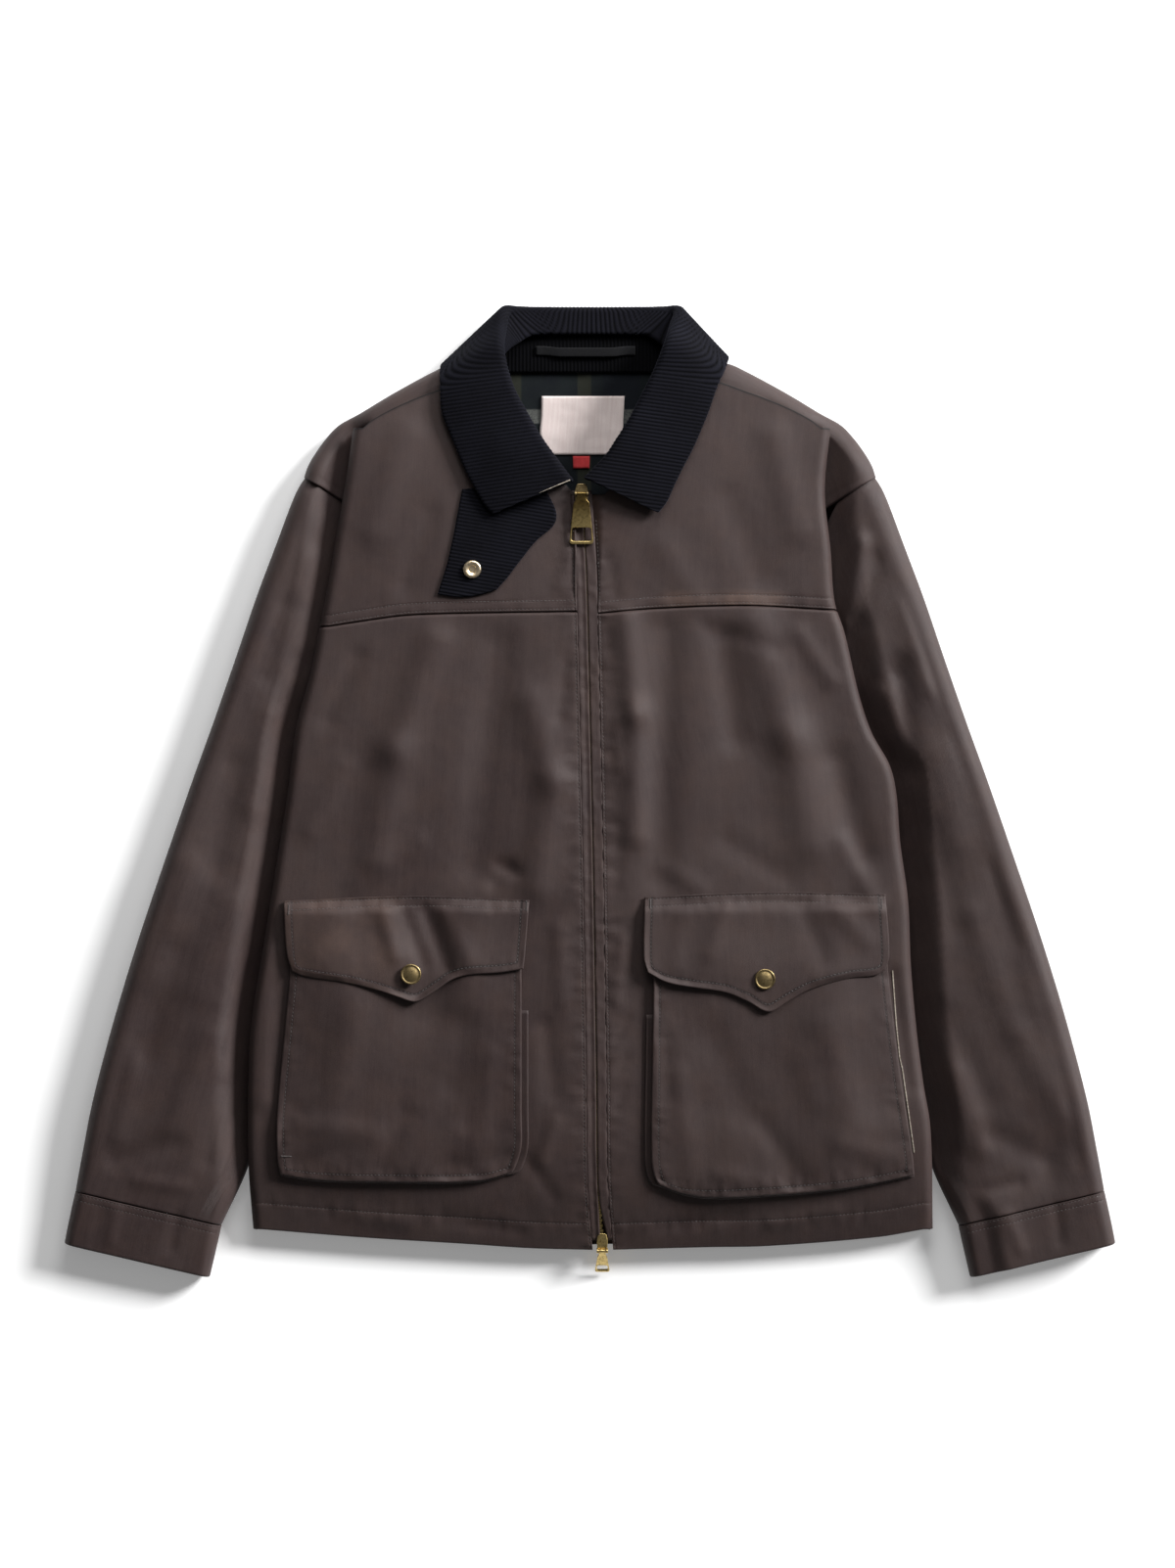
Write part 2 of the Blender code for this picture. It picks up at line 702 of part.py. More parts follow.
def slider(which):
    """The slider's body with two ears that hold the pull tab."""
    size = SLIDERS[which]
    x, top = slider_base(size)
    half = size["half"]
    xs = (x - half, x - half + EAR_THICK, x + half - EAR_THICK, x + half)
    ys = (size["y"] - size["long"] / 2, size["hinge_y"] - EAR_HALF / 2,
          size["hinge_y"] + EAR_HALF / 2, size["y"] + size["long"] / 2)
    lowest = max(zip_level(ys[0]), zip_level(size["y"]), zip_level(ys[-1])) + 0.4
    zs = (lowest, top, top + size["rise"] + EAR_OVER_HINGE)
    filled = {(i, j, 0) for i in range(3) for j in range(3)} | {(0, 1, 1), (2, 1, 1)}
    bm = bmesh.new()
    cells(bm, xs, ys, zs, filled, lambda a, b, c: Vector((a, b, c)))
    return solid("slider_" + which, bm, brass())


def pull_tab(which):
    """The tab, widening to its end, with a hole; its origin lies on its hinge."""
    size = SLIDERS[which]
    hinge = hinge_place(size)
    tilt = math.radians(size["slope"])
    barrel = size["half"] - EAR_THICK - SEAM
    neck = 4.8
    stops = (-BARREL_HALF, BARREL_HALF, neck, neck + 2, *size["hole"], size["tab"])
    wides = (barrel, barrel, barrel, size["tab_near"], None, None, size["tab_far"])

    def half_at(run):
        k = stops.index(run)
        if wides[k] is None:
            share = (run - stops[3]) / (stops[-1] - stops[3])
            return mix(size["tab_near"], size["tab_far"], share)
        return wides[k]

    def place(a, run, c):
        half = half_at(run)
        inner = min(size["hole_half"], half * 0.66)
        across = {-2: -half, -1: -inner, 1: inner, 2: half}[a]
        thick = BARREL_HALF if run <= BARREL_HALF else TAB_HALF_THICK
        y = -run * math.cos(tilt) + c * thick * math.sin(-tilt)
        z = -run * math.sin(tilt) + c * thick * math.cos(tilt)
        return hinge + Vector((across, y, z))

    bm = bmesh.new()
    filled = {(i, j, 0) for i in range(3) for j in range(6)} - {(1, 4, 0)}
    cells(bm, (-2, -1, 1, 2), stops, (-1, 1), filled, place)
    return solid("pull_" + which, bm, brass(), hinge)


# ---- collar and neck -----------------------------------------------------------------------
# Stations along the collar from its front end to the centre of the back. r is the outline of
# its roll, e the edge of its fall; e_z and r_z are heights of the outer face and of the roll's
# axis where they leave the yoke, turn is how far the fall has passed behind the neck in degrees,
# and b is the lower edge of the band inside.
COLLAR = {
    "right": table(
        "rx ry rz ex ey ez turn bx by bz",
        (13.2, 254.4, None, 78.8, 226.4, 5.8, 0, None, 0, 0),
        (18.5, 261, None, 86, 234, 5.8, 0, None, 0, 0),
        (28, 274, None, 93, 246, 5.6, 0, None, 0, 0),
        (39.6, 290.4, None, 101, 261, 5.2, 0, None, 0, 0),
        (51.6, 311.2, None, 112, 287, 3.8, 0, None, 0, 0),
        (61.2, 329.6, None, 120.5, 309, 3.4, 0, None, 0, 0),
        (67, 348, None, 126.5, 326, 3.4, 8, None, 0, 0),
        (69.5, 363, 37, 130.5, 338, 33.0, 32, 75, 350, 28),
        (68.5, 380, 26, 131, 346.5, 24.0, 62, 67, 361, 22),
        (66, 396.2, 15, 129.5, 349.5, 14.0, 92, 56, 370, 17),
        (58, 397.6, 8, 110, 357, 2.4, 150, 47, 375, 14),
        (44, 397.6, 5.6, 80, 355, 0.0, 180, 36, 376, 13),
        (20, 397.6, 5.4, 30, 353, 0.0, 180, 18, 376, 12.6)),
    "left": table(
        "rx ry rz ex ey ez turn bx by bz",
        (-5.5, 256.4, None, 55.6, 227.2, 3.6, 0, None, 0, 0),
        (0.5, 262, None, 62.5, 236, 3.4, 0, None, 0, 0),
        (12, 274, None, 69, 250, 3.4, 0, None, 0, 0),
        (20.5, 286.8, None, 76, 264.5, 3.4, 0, None, 0, 0),
        (30.8, 303.2, None, 85.5, 283, 3.4, 0, None, 0, 0),
        (42, 324.8, None, 96.4, 309, 3.4, 0, None, 0, 0),
        (51.5, 344, None, 106, 328.8, 3.4, 8, None, 0, 0),
        (60, 366, 37, 113, 342, 33.5, 32, 66, 350, 29),
        (65, 382, 26, 117, 351.5, 23.0, 62, 66, 358, 24),
        (69, 396.4, 15, 116.5, 357.5, 14.0, 92, 60, 366, 19),
        (60, 397.6, 8, 102, 362, 2.4, 150, 47, 375, 14),
        (44, 397.6, 5.6, 78, 357, 0.0, 180, 36, 376, 13),
        (20, 397.6, 5.4, 30, 353, 0.0, 180, 18, 376, 12.6)),
}
COLLAR_BACK = dict(rx=0, ry=397.6, rz=5.4, ex=0, ey=352, ez=0.0, turn=180, bx=0, by=376, bz=12.4)
ROLL = 5.4
BAND_UNDER = 13.0
FALL_SHARES = (0, .12, .32, .55, .78)
FALL_BULGE = 1.6
ARC_TURNS = (0, 45, 90, 135, 180)


def collar_station(side, row):
    """Section of the collar: edge of the fall, its face, the roll, and the band inside."""
    sign = SIGN[side]
    roll_edge = Vector((sign * row["rx"], row["ry"], 0))
    fall_edge = Vector((sign * row["ex"], row["ey"], 0))
    ahead = (fall_edge - roll_edge).normalized()
    outward = Vector((-ahead.y * sign, ahead.x * sign, 0))
    if outward.y < 0:
        outward = -outward
    turn = math.radians(row["turn"])
    over = Vector((0, 0, 1)) * math.cos(turn) + outward * math.sin(turn)
    axis = roll_edge + ahead * ROLL
    if row["rz"] is None:
        axis.z = body_top(axis.x, axis.y) + CLEAR + ROLL
        fall_edge.z = body_top(fall_edge.x, fall_edge.y) + row["ez"]
        band = roll_edge + ahead * (ROLL + BAND_UNDER)
        band.z = body_top(band.x, band.y) + CLEAR
    else:
        axis.z = row["rz"]
        fall_edge.z = row["ez"]
        band = Vector((sign * row["bx"], row["by"], row["bz"]))
    roll_top = axis + over * ROLL
    points = []
    for share in FALL_SHARES:
        bulge = over * FALL_BULGE * max(over.z, 0) * math.sin(math.pi * share)
        points.append(fall_edge.lerp(roll_top, share) + bulge)
    for degrees in ARC_TURNS:
        angle = math.radians(degrees)
        points.append(axis + over * ROLL * math.cos(angle) - ahead * ROLL * math.sin(angle))
    points.append(points[-1].lerp(band, 0.5))
    points.append(band)
    return points


def collar():
    grid = [collar_station("right", row) for row in COLLAR["right"]]
    grid.append(collar_station("left", COLLAR_BACK))
    grid += [collar_station("left", row) for row in reversed(COLLAR["left"])]
    return cloth("collar", [grid], CORD_CLOTH, corduroy(), (0, 0, -1))


def level(rows, y):
    return read(rows, "y", y, "z")


STAND = table("y z left right", (345, 9.0, -70, 70), (356, 9.0, -72, 72), (368, 8.6, -70, 70),
              (379, 7.4, -62, 62))
LINING = table(
    "y z left right", (236, 3.8, -78, 78), (262, 3.8, -82, 82), (290, 3.9, -84, 84),
    (310, 4.2, -84, 84), (330, 5.0, -82, 82), (350, 6.2, -78, 78))
LABEL = table(
    "y z left right", (277.6, 0, -30.8, 14.8), (292, 0, -40.4, 26), (308, 0, -40, 27.4),
    (325.6, 0, -39.6, 28.4))
SIZE_TAG = table("y z left right", (266.4, 0, -13.6, -0.4), (276.4, 0, -14, -0.2))
LINING_THICK = 1.2
LABEL_THICK = 0.8
TAG_GAP = 0.4


def band_grid(rows, height, steps):
    """Rows across, from a table of left and right ends."""
    grid = []
    for row in rows:
        xs = [mix(row["left"], row["right"], k / steps) for k in range(steps + 1)]
        grid.append([Vector((x, row["y"], height(x, row["y"]))) for x in xs])
    return grid


def collar_stand():
    grid = band_grid(STAND, lambda x, y: level(STAND, y), 8)
    return cloth("collar_stand", [grid], CORD_CLOTH, corduroy(), (0, 0, -1))


def neck_lining():
    grid = band_grid(LINING, lambda x, y: level(LINING, y), 8)
    return cloth("neck_lining", [grid], LINING_THICK, checked(), (0, 0, -1))


def on_lining(name, rows, finish):
    """A small label sewn on the lining."""
    rise = TAG_GAP + LABEL_THICK
    grid = band_grid(rows, lambda x, y: level(LINING, y) + rise, 3)
    return cloth(name, [grid], LABEL_THICK, finish, (0, 0, -1))


LOOP_LEFT = -44.0
LOOP_RIGHT = 37.0
LOOP_Y = 362.5
LOOP_HALF = 3.6
LOOP_ARCH = 3.0
LOOP_SAG = 4.0


def hanger_loop():
    """A tape held down at both ends on the stand, standing a little off between them."""
    grid = []
    for k in range(13):
        x = mix(LOOP_LEFT, LOOP_RIGHT, k / 12)
        free = smooth((x - LOOP_LEFT - 5) / 16) * smooth((LOOP_RIGHT - 5 - x) / 16)
        y = LOOP_Y - LOOP_SAG * free
        z = level(STAND, y) + SEAM + TAPE + LOOP_ARCH * free
        grid.append([Vector((x, y - LOOP_HALF, z)), Vector((x, y + LOOP_HALF, z))])
    return cloth("hanger_loop", [grid], TAPE, woven_tape(), (0, 0, -1))


# ---- throat tab and snaps ------------------------------------------------------------------
THROAT_TAB = table(
    "lx ly rx ry sag",
    (-104, 247, -36, 247, 0), (-107, 231, -27.6, 229, 0), (-110, 214.4, -30, 217, 0),
    (-113, 200, -44, 204.5, 0), (-116, 187, -58, 187, 1), (-120, 174, -67, 175, 2),
    (-124, 161.5, -76, 165, 4))
TAB_SNAP = (-95.6, 181.6)
SNAP_STEPS = 16


def throat_tab():
    grid = []
    for row in THROAT_TAB:
        points = []
        for k in range(7):
            share = k / 6
            x = mix(row["lx"], row["rx"], share)
            y = mix(row["ly"], row["ry"], share) - row["sag"] * math.sin(math.pi * share)
            points.append(Vector((x, y, body_top(x, y) + CLEAR + CLOTH)))
        grid.append(points)
    return cloth("throat_tab", [grid], CLOTH, corduroy(), (0, 0, -1))


def turned(name, centre, profile, finish, hollow):
    """A round piece from a profile of (radius, height); hollow keeps its middle open."""
    bm = bmesh.new()
    rings = []
    for radius, height in profile:
        if radius == 0:
            rings.append([bm.verts.new(centre + Vector((0, 0, height)))])
            continue
        ring = []
        for k in range(SNAP_STEPS):
            angle = 2 * math.pi * k / SNAP_STEPS
            spot = Vector((radius * math.cos(angle), radius * math.sin(angle), height))
            ring.append(bm.verts.new(centre + spot))
        rings.append(ring)
    pairs = list(zip(rings, rings[1:]))
    if hollow:
        pairs.append((rings[-1], rings[0]))
    for low, high in pairs:
        for k in range(SNAP_STEPS):
            n = (k + 1) % SNAP_STEPS
            corners = [low[k % len(low)], low[n % len(low)]]
            corners += [high[n % len(high)], high[k % len(high)]]
            kept = [c for i, c in enumerate(corners) if c is not corners[i - 1]]
            bm.faces.new(kept)
    return solid(name, bm, finish)


def tab_snap():
    """The socket half of a snap: a ring with an open middle."""
    x, y = TAB_SNAP
    base = Vector((x, y, body_top(x, y) + CLEAR + CLOTH + SEAM + 0.3))
    profile = ((7.4, 0), (7.4, 0.9), (6.4, 1.6), (4.6, 1.8), (3.4, 1.4), (2.6, 0.4), (2.6, 0))
    return turned("tab_snap", base, profile, brass(), True)


# ---- pockets -------------------------------------------------------------------------------
POCKET_TOP = -106.0
POCKETS = {
    "right": dict(
        sides=table(
            "y inner outer", (-317.6, 69, 249), (-312, 65, 251.6), (-303, 60, 254),
            (-287, 55.6, 255), (-261, 55.6, 254.8), (-193, 55.6, 248.4), (-151, 55.6, 244.4),
            (-106, 55.6, 242)),
        bottom=table("u y", (0, -309), (.12, -316), (.5, -317), (.85, -315.5), (1, -311)),
        flap_ends=table("v inner outer", (0, 49.2, 249.2), (.75, 52.5, 246.5), (1, 54, 242)),
        flap_top=table("u y", (0, -87.2), (.46, -84), (1, -88)),
        flap_bottom=table(
            "u y", (0, -143), (.1, -146), (.24, -148), (.31, -152), (.39, -162), (.465, -169.6),
            (.54, -166), (.62, -161), (.75, -155), (.95, -149), (1, -145)),
        snap=(145.2, -147.2)),
    "left": dict(
        sides=table(
            "y inner outer", (-330, 72, 265), (-325, 62, 265), (-314, 53.2, 264.4),
            (-297, 50, 263), (-216, 50.6, 251), (-148, 51.6, 243), (-106, 51.6, 239)),
        bottom=table("u y", (0, -319), (.09, -329), (.4, -328), (.65, -324), (.82, -319.2),
                     (1, -311.5)),
        flap_ends=table("v inner outer", (0, 44.4, 240.4), (.8, 43.6, 243.4), (1, 47, 240)),
        flap_top=table("u y", (0, -84.8), (.5, -80.8), (1, -82.4)),
        flap_bottom=table(
            "u y", (0, -146), (.08, -154), (.2, -158.4), (.33, -162.4), (.42, -169.6),
            (.51, -178), (.585, -170), (.68, -160), (.84, -151.2), (.96, -148.5), (1, -144)),
        snap=(142.0, -151.2)),
}
POCKET_ACROSS = (0, .06, .15, .3, .45, .6, .75, .88, .96, 1)
POCKET_DOWN = (0, .12, .25, .4, .55, .7, .83, .93, 1)
FLAP_ACROSS = (0, .06, .15, .24, .32, .39, .46, .52, .59, .67, .78, .9, 1)
FLAP_DOWN = (0, .18, .34, .52, .76, 1)
GUSSET_THICK = 1.8
GUSSET_OUT = 5.6
GUSSET_IN = 8.0
EDGE_RISE = 5.2
MIDDLE_RISE = 5.8
OUTER_RISE = 3.2
MOUTH_RISE = 3.2
FLAP_STEP = CLOTH + 0.6
SNAP_CAP = ((0, 0), (8.2, 0), (8.4, 0.8), (7.8, 1.7), (6.2, 1.5), (4.5, 2.2), (0, 2.7))


def pocket_spot(side, u, v):
    """Plan place on a pocket's front, u from its zip side outwards, v from mouth to bottom."""
    shape = POCKETS[side]
    y = mix(POCKET_TOP, read(shape["bottom"], "u", u, "y"), v)
    inner = read(shape["sides"], "y", y, "inner")
    outer = read(shape["sides"], "y", y, "outer")
    return SIGN[side] * mix(inner, outer, u), y


def pocket_rise(u, y):
    """Height of a pocket front's outer face over the front panel."""
    u = min(max(u, 0), 1)
    middle = mix(EDGE_RISE, MIDDLE_RISE, math.sin(math.pi * u))
    across = mix(middle, OUTER_RISE, smooth((u - 0.72) / 0.28))
    return mix(MOUTH_RISE, across, smooth((POCKET_TOP - y) / 44))


def pocket(side):
    grid = []
    for v in POCKET_DOWN:
        row = []
        for u in POCKET_ACROSS:
            x, y = pocket_spot(side, u, v)
            lift = pocket_rise(u, y)
            lift = mix(lift, max(lift, EDGE_RISE), smooth((v - 0.7) / 0.13))
            row.append(Vector((x, y, body_top(x, y) + lift)))
        grid.append(row)
    return cloth("pocket_" + side, [grid], CLOTH, waxed(), (0, 0, -1))


def gusset(side):
    """The folded strip that shows beside the pocket's zip side and under its lower edge."""
    path = [pocket_spot(side, 0, v) for v in (.35, .5, .65, .8, .9, .96, 1)]
    path += [pocket_spot(side, u, 1) for u in (.06, .15, .3, .45, .6, .75, .9, 1)]
    path = [Vector(spot) for spot in path]
    grid = []
    for i, spot in enumerate(path):
        ahead = (path[min(i + 1, len(path) - 1)] - path[max(i - 1, 0)]).normalized()
        out = Vector((ahead.y, -ahead.x)) * -SIGN[side]
        if out.dot(spot - Vector((SIGN[side] * 150, -220))) < 0:
            out = -out
        down = smooth((abs(out.y) - 0.5) / 0.4)
        reach = mix(GUSSET_OUT, 1.6, down)
        row = []
        for off in (reach, -GUSSET_IN / 2, -GUSSET_IN):
            place = spot + out * off
            z = body_top(place.x, place.y) + CLEAR + GUSSET_THICK
            row.append(Vector((place.x, place.y, z)))
        grid.append(row)
    return cloth("gusset_" + side, [grid], GUSSET_THICK, waxed(), (0, 0, -1))


def flap_spot(side, u, v):
    shape = POCKETS[side]
    inner = read(shape["flap_ends"], "v", v, "inner")
    outer = read(shape["flap_ends"], "v", v, "outer")
    y = mix(read(shape["flap_top"], "u", u, "y"), read(shape["flap_bottom"], "u", u, "y"), v)
    return SIGN[side] * mix(inner, outer, u), y


def flap_height(side, x, y):
    """Outer face of a flap: on the panel at its seam, then over the pocket's mouth."""
    shape = POCKETS[side]
    inner = read(shape["sides"], "y", y, "inner")
    outer = read(shape["sides"], "y", y, "outer")
    u = (abs(x) - inner) / (outer - inner)
    rise = mix(0, pocket_rise(u, y), smooth((POCKET_TOP + 20 - y) / 12))
    return body_top(x, y) + rise + FLAP_STEP


def flap(side):
    grid = []
    for v in FLAP_DOWN:
        spots = [flap_spot(side, u, v) for u in FLAP_ACROSS]
        grid.append([Vector((x, y, flap_height(side, x, y))) for x, y in spots])
    return cloth("flap_" + side, [grid], CLOTH, waxed(), (0, 0, -1))


def snap_cap(side):
    x, y = POCKETS[side]["snap"]
    x = SIGN[side] * x
    base = Vector((x, y, flap_height(side, x, y) + SEAM + 0.2))
    return turned("snap_cap_" + side, base, SNAP_CAP, antique_brass(), False)


def main():
    for old in list(bpy.data.objects):
        bpy.data.objects.remove(old, do_unlink=True)
    back_panel()
    for side in SIGN:
        front_panel(side)
        front_yoke(side)
        sleeve(side)
        cuff(side)
        zip_tape(side)
        pocket(side)
        gusset(side)
        flap(side)
        snap_cap(side)
    zip_chain()
    for which in SLIDERS:
        slider(which)
        pull_tab(which)
    collar()
    collar_stand()
    neck_lining()
    on_lining("neck_label", LABEL, label_cloth())
    on_lining("size_tag", SIZE_TAG, tag_cloth())
    hanger_loop()
    throat_tab()
    tab_snap()


main()
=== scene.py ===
"""Looks of a waxed cotton jacket that lies flat on its back, with its sleeves beside it.

Lengths are in millimetres until put() turns them into metres. +X is the wearer's left, +Y points
to the collar and +Z up, and a side is -1 for the wearer's right and 1 for the left. Each cloth
piece is a fine grid of points on its outer face, on the same surfaces as its solid, with soft
creases, rolled edges and sewn grooves.
"""
import math
from bisect import bisect

import bpy
import numpy as np
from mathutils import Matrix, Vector, noise
from mathutils.bvhtree import BVHTree


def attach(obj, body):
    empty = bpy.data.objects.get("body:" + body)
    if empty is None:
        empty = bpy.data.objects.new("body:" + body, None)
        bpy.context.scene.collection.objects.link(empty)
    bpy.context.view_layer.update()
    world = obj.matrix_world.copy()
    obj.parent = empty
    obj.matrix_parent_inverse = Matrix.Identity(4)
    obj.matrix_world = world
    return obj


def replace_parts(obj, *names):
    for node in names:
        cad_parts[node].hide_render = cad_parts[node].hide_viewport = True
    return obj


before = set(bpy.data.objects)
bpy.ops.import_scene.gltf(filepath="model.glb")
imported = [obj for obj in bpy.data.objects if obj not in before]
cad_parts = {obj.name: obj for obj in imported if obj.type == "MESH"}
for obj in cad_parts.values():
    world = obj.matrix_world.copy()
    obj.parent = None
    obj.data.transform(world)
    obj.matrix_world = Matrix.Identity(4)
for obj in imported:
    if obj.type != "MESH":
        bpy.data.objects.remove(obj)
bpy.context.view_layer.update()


# ---- small sums and tables ----
def mix(a, b, t):
    return a + (b - a) * t


def smooth(t):
    t = min(max(t, 0.0), 1.0)
    return t * t * (3 - 2 * t)


def curve(keys, values, place):
    """Value at a place on a smooth curve through points."""
    if place <= keys[0]:
        return values[0]
    if place >= keys[-1]:
        return values[-1]
    i = bisect(keys, place) - 1
    run = keys[i + 1] - keys[i]
    rises = []
    for k in (i, i + 1):
        low, high = max(k - 1, 0), min(k + 1, len(keys) - 1)
        rises.append((values[high] - values[low]) / (keys[high] - keys[low]) * run)
    t = (place - keys[i]) / run
    h = smooth(t)
    return (values[i] * (1 - h) + values[i + 1] * h
            + rises[0] * t * (1 - t) ** 2 - rises[1] * t * t * (1 - t))


class Table:
    """A short table, read by its first column on smooth curves through its rows."""

    def __init__(self, names, *rows):
        self.names = names.split()
        self.columns = dict(zip(self.names, zip(*rows)))
        self.keys = self.columns[self.names[0]]
        self.last = len(rows) - 1

    def __call__(self, place, name=None):
        return curve(self.keys, self.columns[name or self.names[1]], place)

    def at(self, number):
        """All columns at a place between the rows, which are numbered from 0."""
        numbers = range(self.last + 1)
        return {name: curve(numbers, column, number) for name, column in self.columns.items()}


def steps(count):
    return [k / count for k in range(count + 1)]


def evenly(a, b, count):
    return [mix(a, b, share) for share in steps(count)]


def spread(length, step, near=(), far=()):
    """Shares of a length: stops at distances from its two ends, and small steps between."""
    stops = sorted({0.0, length, *near, *(length - d for d in far)})
    made = [0.0]
    for stop in stops:
        gap = stop - made[-1]
        if gap > 0.05:
            count = math.ceil(gap / step)
            made += [made[-1] + gap * k / count for k in range(1, count + 1)]
    made[-1] = length
    return [place / length for place in made]


# ---- sizes of the laid jacket ----
SIDES = {-1: "right", 1: "left"}
MM = 0.001
CLOTH = 2.0
CORD_CLOTH = 2.4
SEAM = 0.3
CLEAR = 0.5
LAP = CLOTH + CLEAR
YOKE_STEP = CLOTH + 0.7
BODY_CROWN = 4.0
BODY_HALF_WIDTH = 270.0
FOLD_RADIUS = 8.0
FRONT_EDGE = 8.4
SLEEVE_TOP = 29.0
SHOULDER_REACH = 13.0
VALLEY_WIDTH = 30.0
SIDE_RAMP = 31.0
SIDE_INSET = 5.0
UNDERARM_Y = 31.0
EDGE_ROUND = 0.42
HEM_STITCH = 22.0
EDGE_STITCH = 1.9
YOKE_STITCHES = (1.7, 8.6)
CREASE_SHARE = 1.15
RUMPLE_SHARE = 0.5
HEM_CALM = -372

LOFT = Table("y top",
    (-376, 10.5), (-350, 17.5), (-320, 24), (-270, 28.5), (-100, 30.5), (100, 31), (200, 31.5),
    (280, 31), (310, 29.5), (345, 27.5))
FOLD_EDGE = {
    -1: Table("y edge",
        (-357, 276), (-305, 279), (-235, 279), (-188, 276.4), (-122, 266), (-72, 258), (0, 246.8),
        (54, 239.6), (96, 228.4), (136, 220.4), (168, 214), (220, 205.2), (253, 199.6),
        (297, 193)),
    1: Table("y edge",
        (-357, 281), (-273, 278), (-238, 272.4), (-195, 266.8), (-142, 262), (-88, 259.6),
        (-40, 253.2), (0, 250), (23, 244.4), (49, 230), (80, 219.6), (131, 207.6), (156, 199.6),
        (197, 196.4), (246, 191.6), (297, 196)),
}
FOLD_HEIGHT = Table("y low under turn tail",
    (-357, 3, 8, -90, 6), (-330, 8, 12, -90, 8), (-305, 13, 12, -90, 9), (-285, 15.3, 12, -90, 10),
    (30, 15.3, 12, -90, 10), (60, 15.3, 12.1, -90, 10), (95, 17.3, 16.2, -90, 10),
    (240, 17.3, 16.2, -90, 10), (258, 17.4, 16, -90, 8), (280, 18.2, 16.7, -30, 4),
    (297, 19.5, 20, 40, 2))
HEM = {
    -1: Table("s y",
        (0, -374.4), (0.2, -372.8), (0.37, -369.6), (0.7, -364), (1, -357.5)),
    1: Table("s y",
        (0, -374.2), (0.3, -372.2), (0.5, -371.2), (0.85, -364), (1, -357.5)),
}
YOKE_SEAM = {
    -1: Table("s y", (0, 148), (0.5, 146.4), (0.7, 144.8), (0.85, 140.8), (1, 136)),
    1: Table("s y", (0, 146.4), (0.25, 150.4), (0.65, 152.8), (1, 149.6)),
}
YOKE_TOP = Table("s x y",
    (0, 12, 243), (0.12, 30, 262), (0.24, 52, 292), (0.34, 74, 322), (0.42, 92, 336),
    (0.6, 129, 326.4), (0.78, 163, 314), (0.92, 184, 304), (1, 193, 297))
WRAP = Table("sx sy ex ey",
    (92, 352, 92, 330), (112, 351.5, 110, 325), (128.5, 344.5, 128, 319.5), (160, 327.5, 156, 308),
    (186, 312, 180, 297), (205, 301.8, 188, 284), (216, 290.5, 189, 270), (225.5, 277, 187, 257),
    (231, 267, 185, 243), (234, 258, 186, 228))
ARMHOLE = Table("w x y",
    (0, 176, 42), (0.15, 182, 70), (0.3, 186, 105), (0.5, 189, 150), (0.7, 193, 196),
    (0.85, 205, 229), (0.94, 219, 246), (1, 233, 257))
SLEEVE_RINGS = Table("ox oy ix iy bow drawn_in",
    (229, 262.5, 171, 47, 1, 1.1), (235.6, 254.4, 178, 37, 1, 0.45), (243, 240, 182, 26, 0.9, 0.1),
    (258, 200, 188, 13, 0.65, 0), (273, 160, 194, 0, 0.4, 0), (290, 110, 201, -16, 0.2, 0),
    (308, 58, 209, -38, 0.08, 0), (326, 8, 218, -68, 0, 0), (348, -56, 230, -112, 0, 0),
    (369.5, -120, 243, -160, 0, 0), (389, -184, 257, -212, 0, 0), (406, -248, 271, -265, 0, 0),
    (414.5, -290, 280, -306, 0, 0), (421, -325, 301.5, -353.5, 0, 0))
CUFF_RINGS = Table("ox oy ix iy bow drawn_in",
    (421.2, -325.9, 301.7, -354.4, 0, 0), (424, -338, 304.5, -367, 0, 0),
    (427.5, -354, 308, -382, 0, 0), (430.5, -369, 311.5, -397, 0, 0))
SLEEVE_LOFT = Table("y top", (-400, 19), (-355, 22.5), (-300, 26), (-220, 29), (300, 29))
ZIP_LINE = Table("y x",
    (-376, 10.8), (-340, 7.6), (-312, 6), (-232, 5.2), (-72, 2.8), (8, 1.2), (148, -2),
    (192, -3.6), (252, -7.6))

# Folds and creases: x and y of both ends, width, and height (+) or depth (-).
FOLDS = (
    (-125, 122, -158, 35, 15, 3.5), (-158, 35, -174, -52, 15, 3), (-47, 74, -31, 10, 14, 3),
    (-31, 10, -43, -75, 14, 3), (-75, 120, -95, -60, 16, -2.5), (29, 140, 36, 64, 11, 3.5),
    (36, 64, 36, -33, 12, 3), (62, 130, 58, -70, 13, -2.5), (134, 138, 163, 45, 18, 4),
    (163, 45, 180, -40, 18, 3.5), (107, 122, 118, 45, 13, -2.5), (201, 26, 222, -52, 13, -3),
    (253, 103, 261, 17, 10, -3), (261, 17, 267, -69, 10, -2.5), (298, -314, 300, -300, 14, -2),
    (374, -311, 380, -290, 14, -2), (-330, -60, -352, -150, 16, 2), (352, -80, 372, -170, 16, 2),
    (-60, -330, -80, -250, 26, -1.5), (80, -335, 96, -260, 26, -1.5))
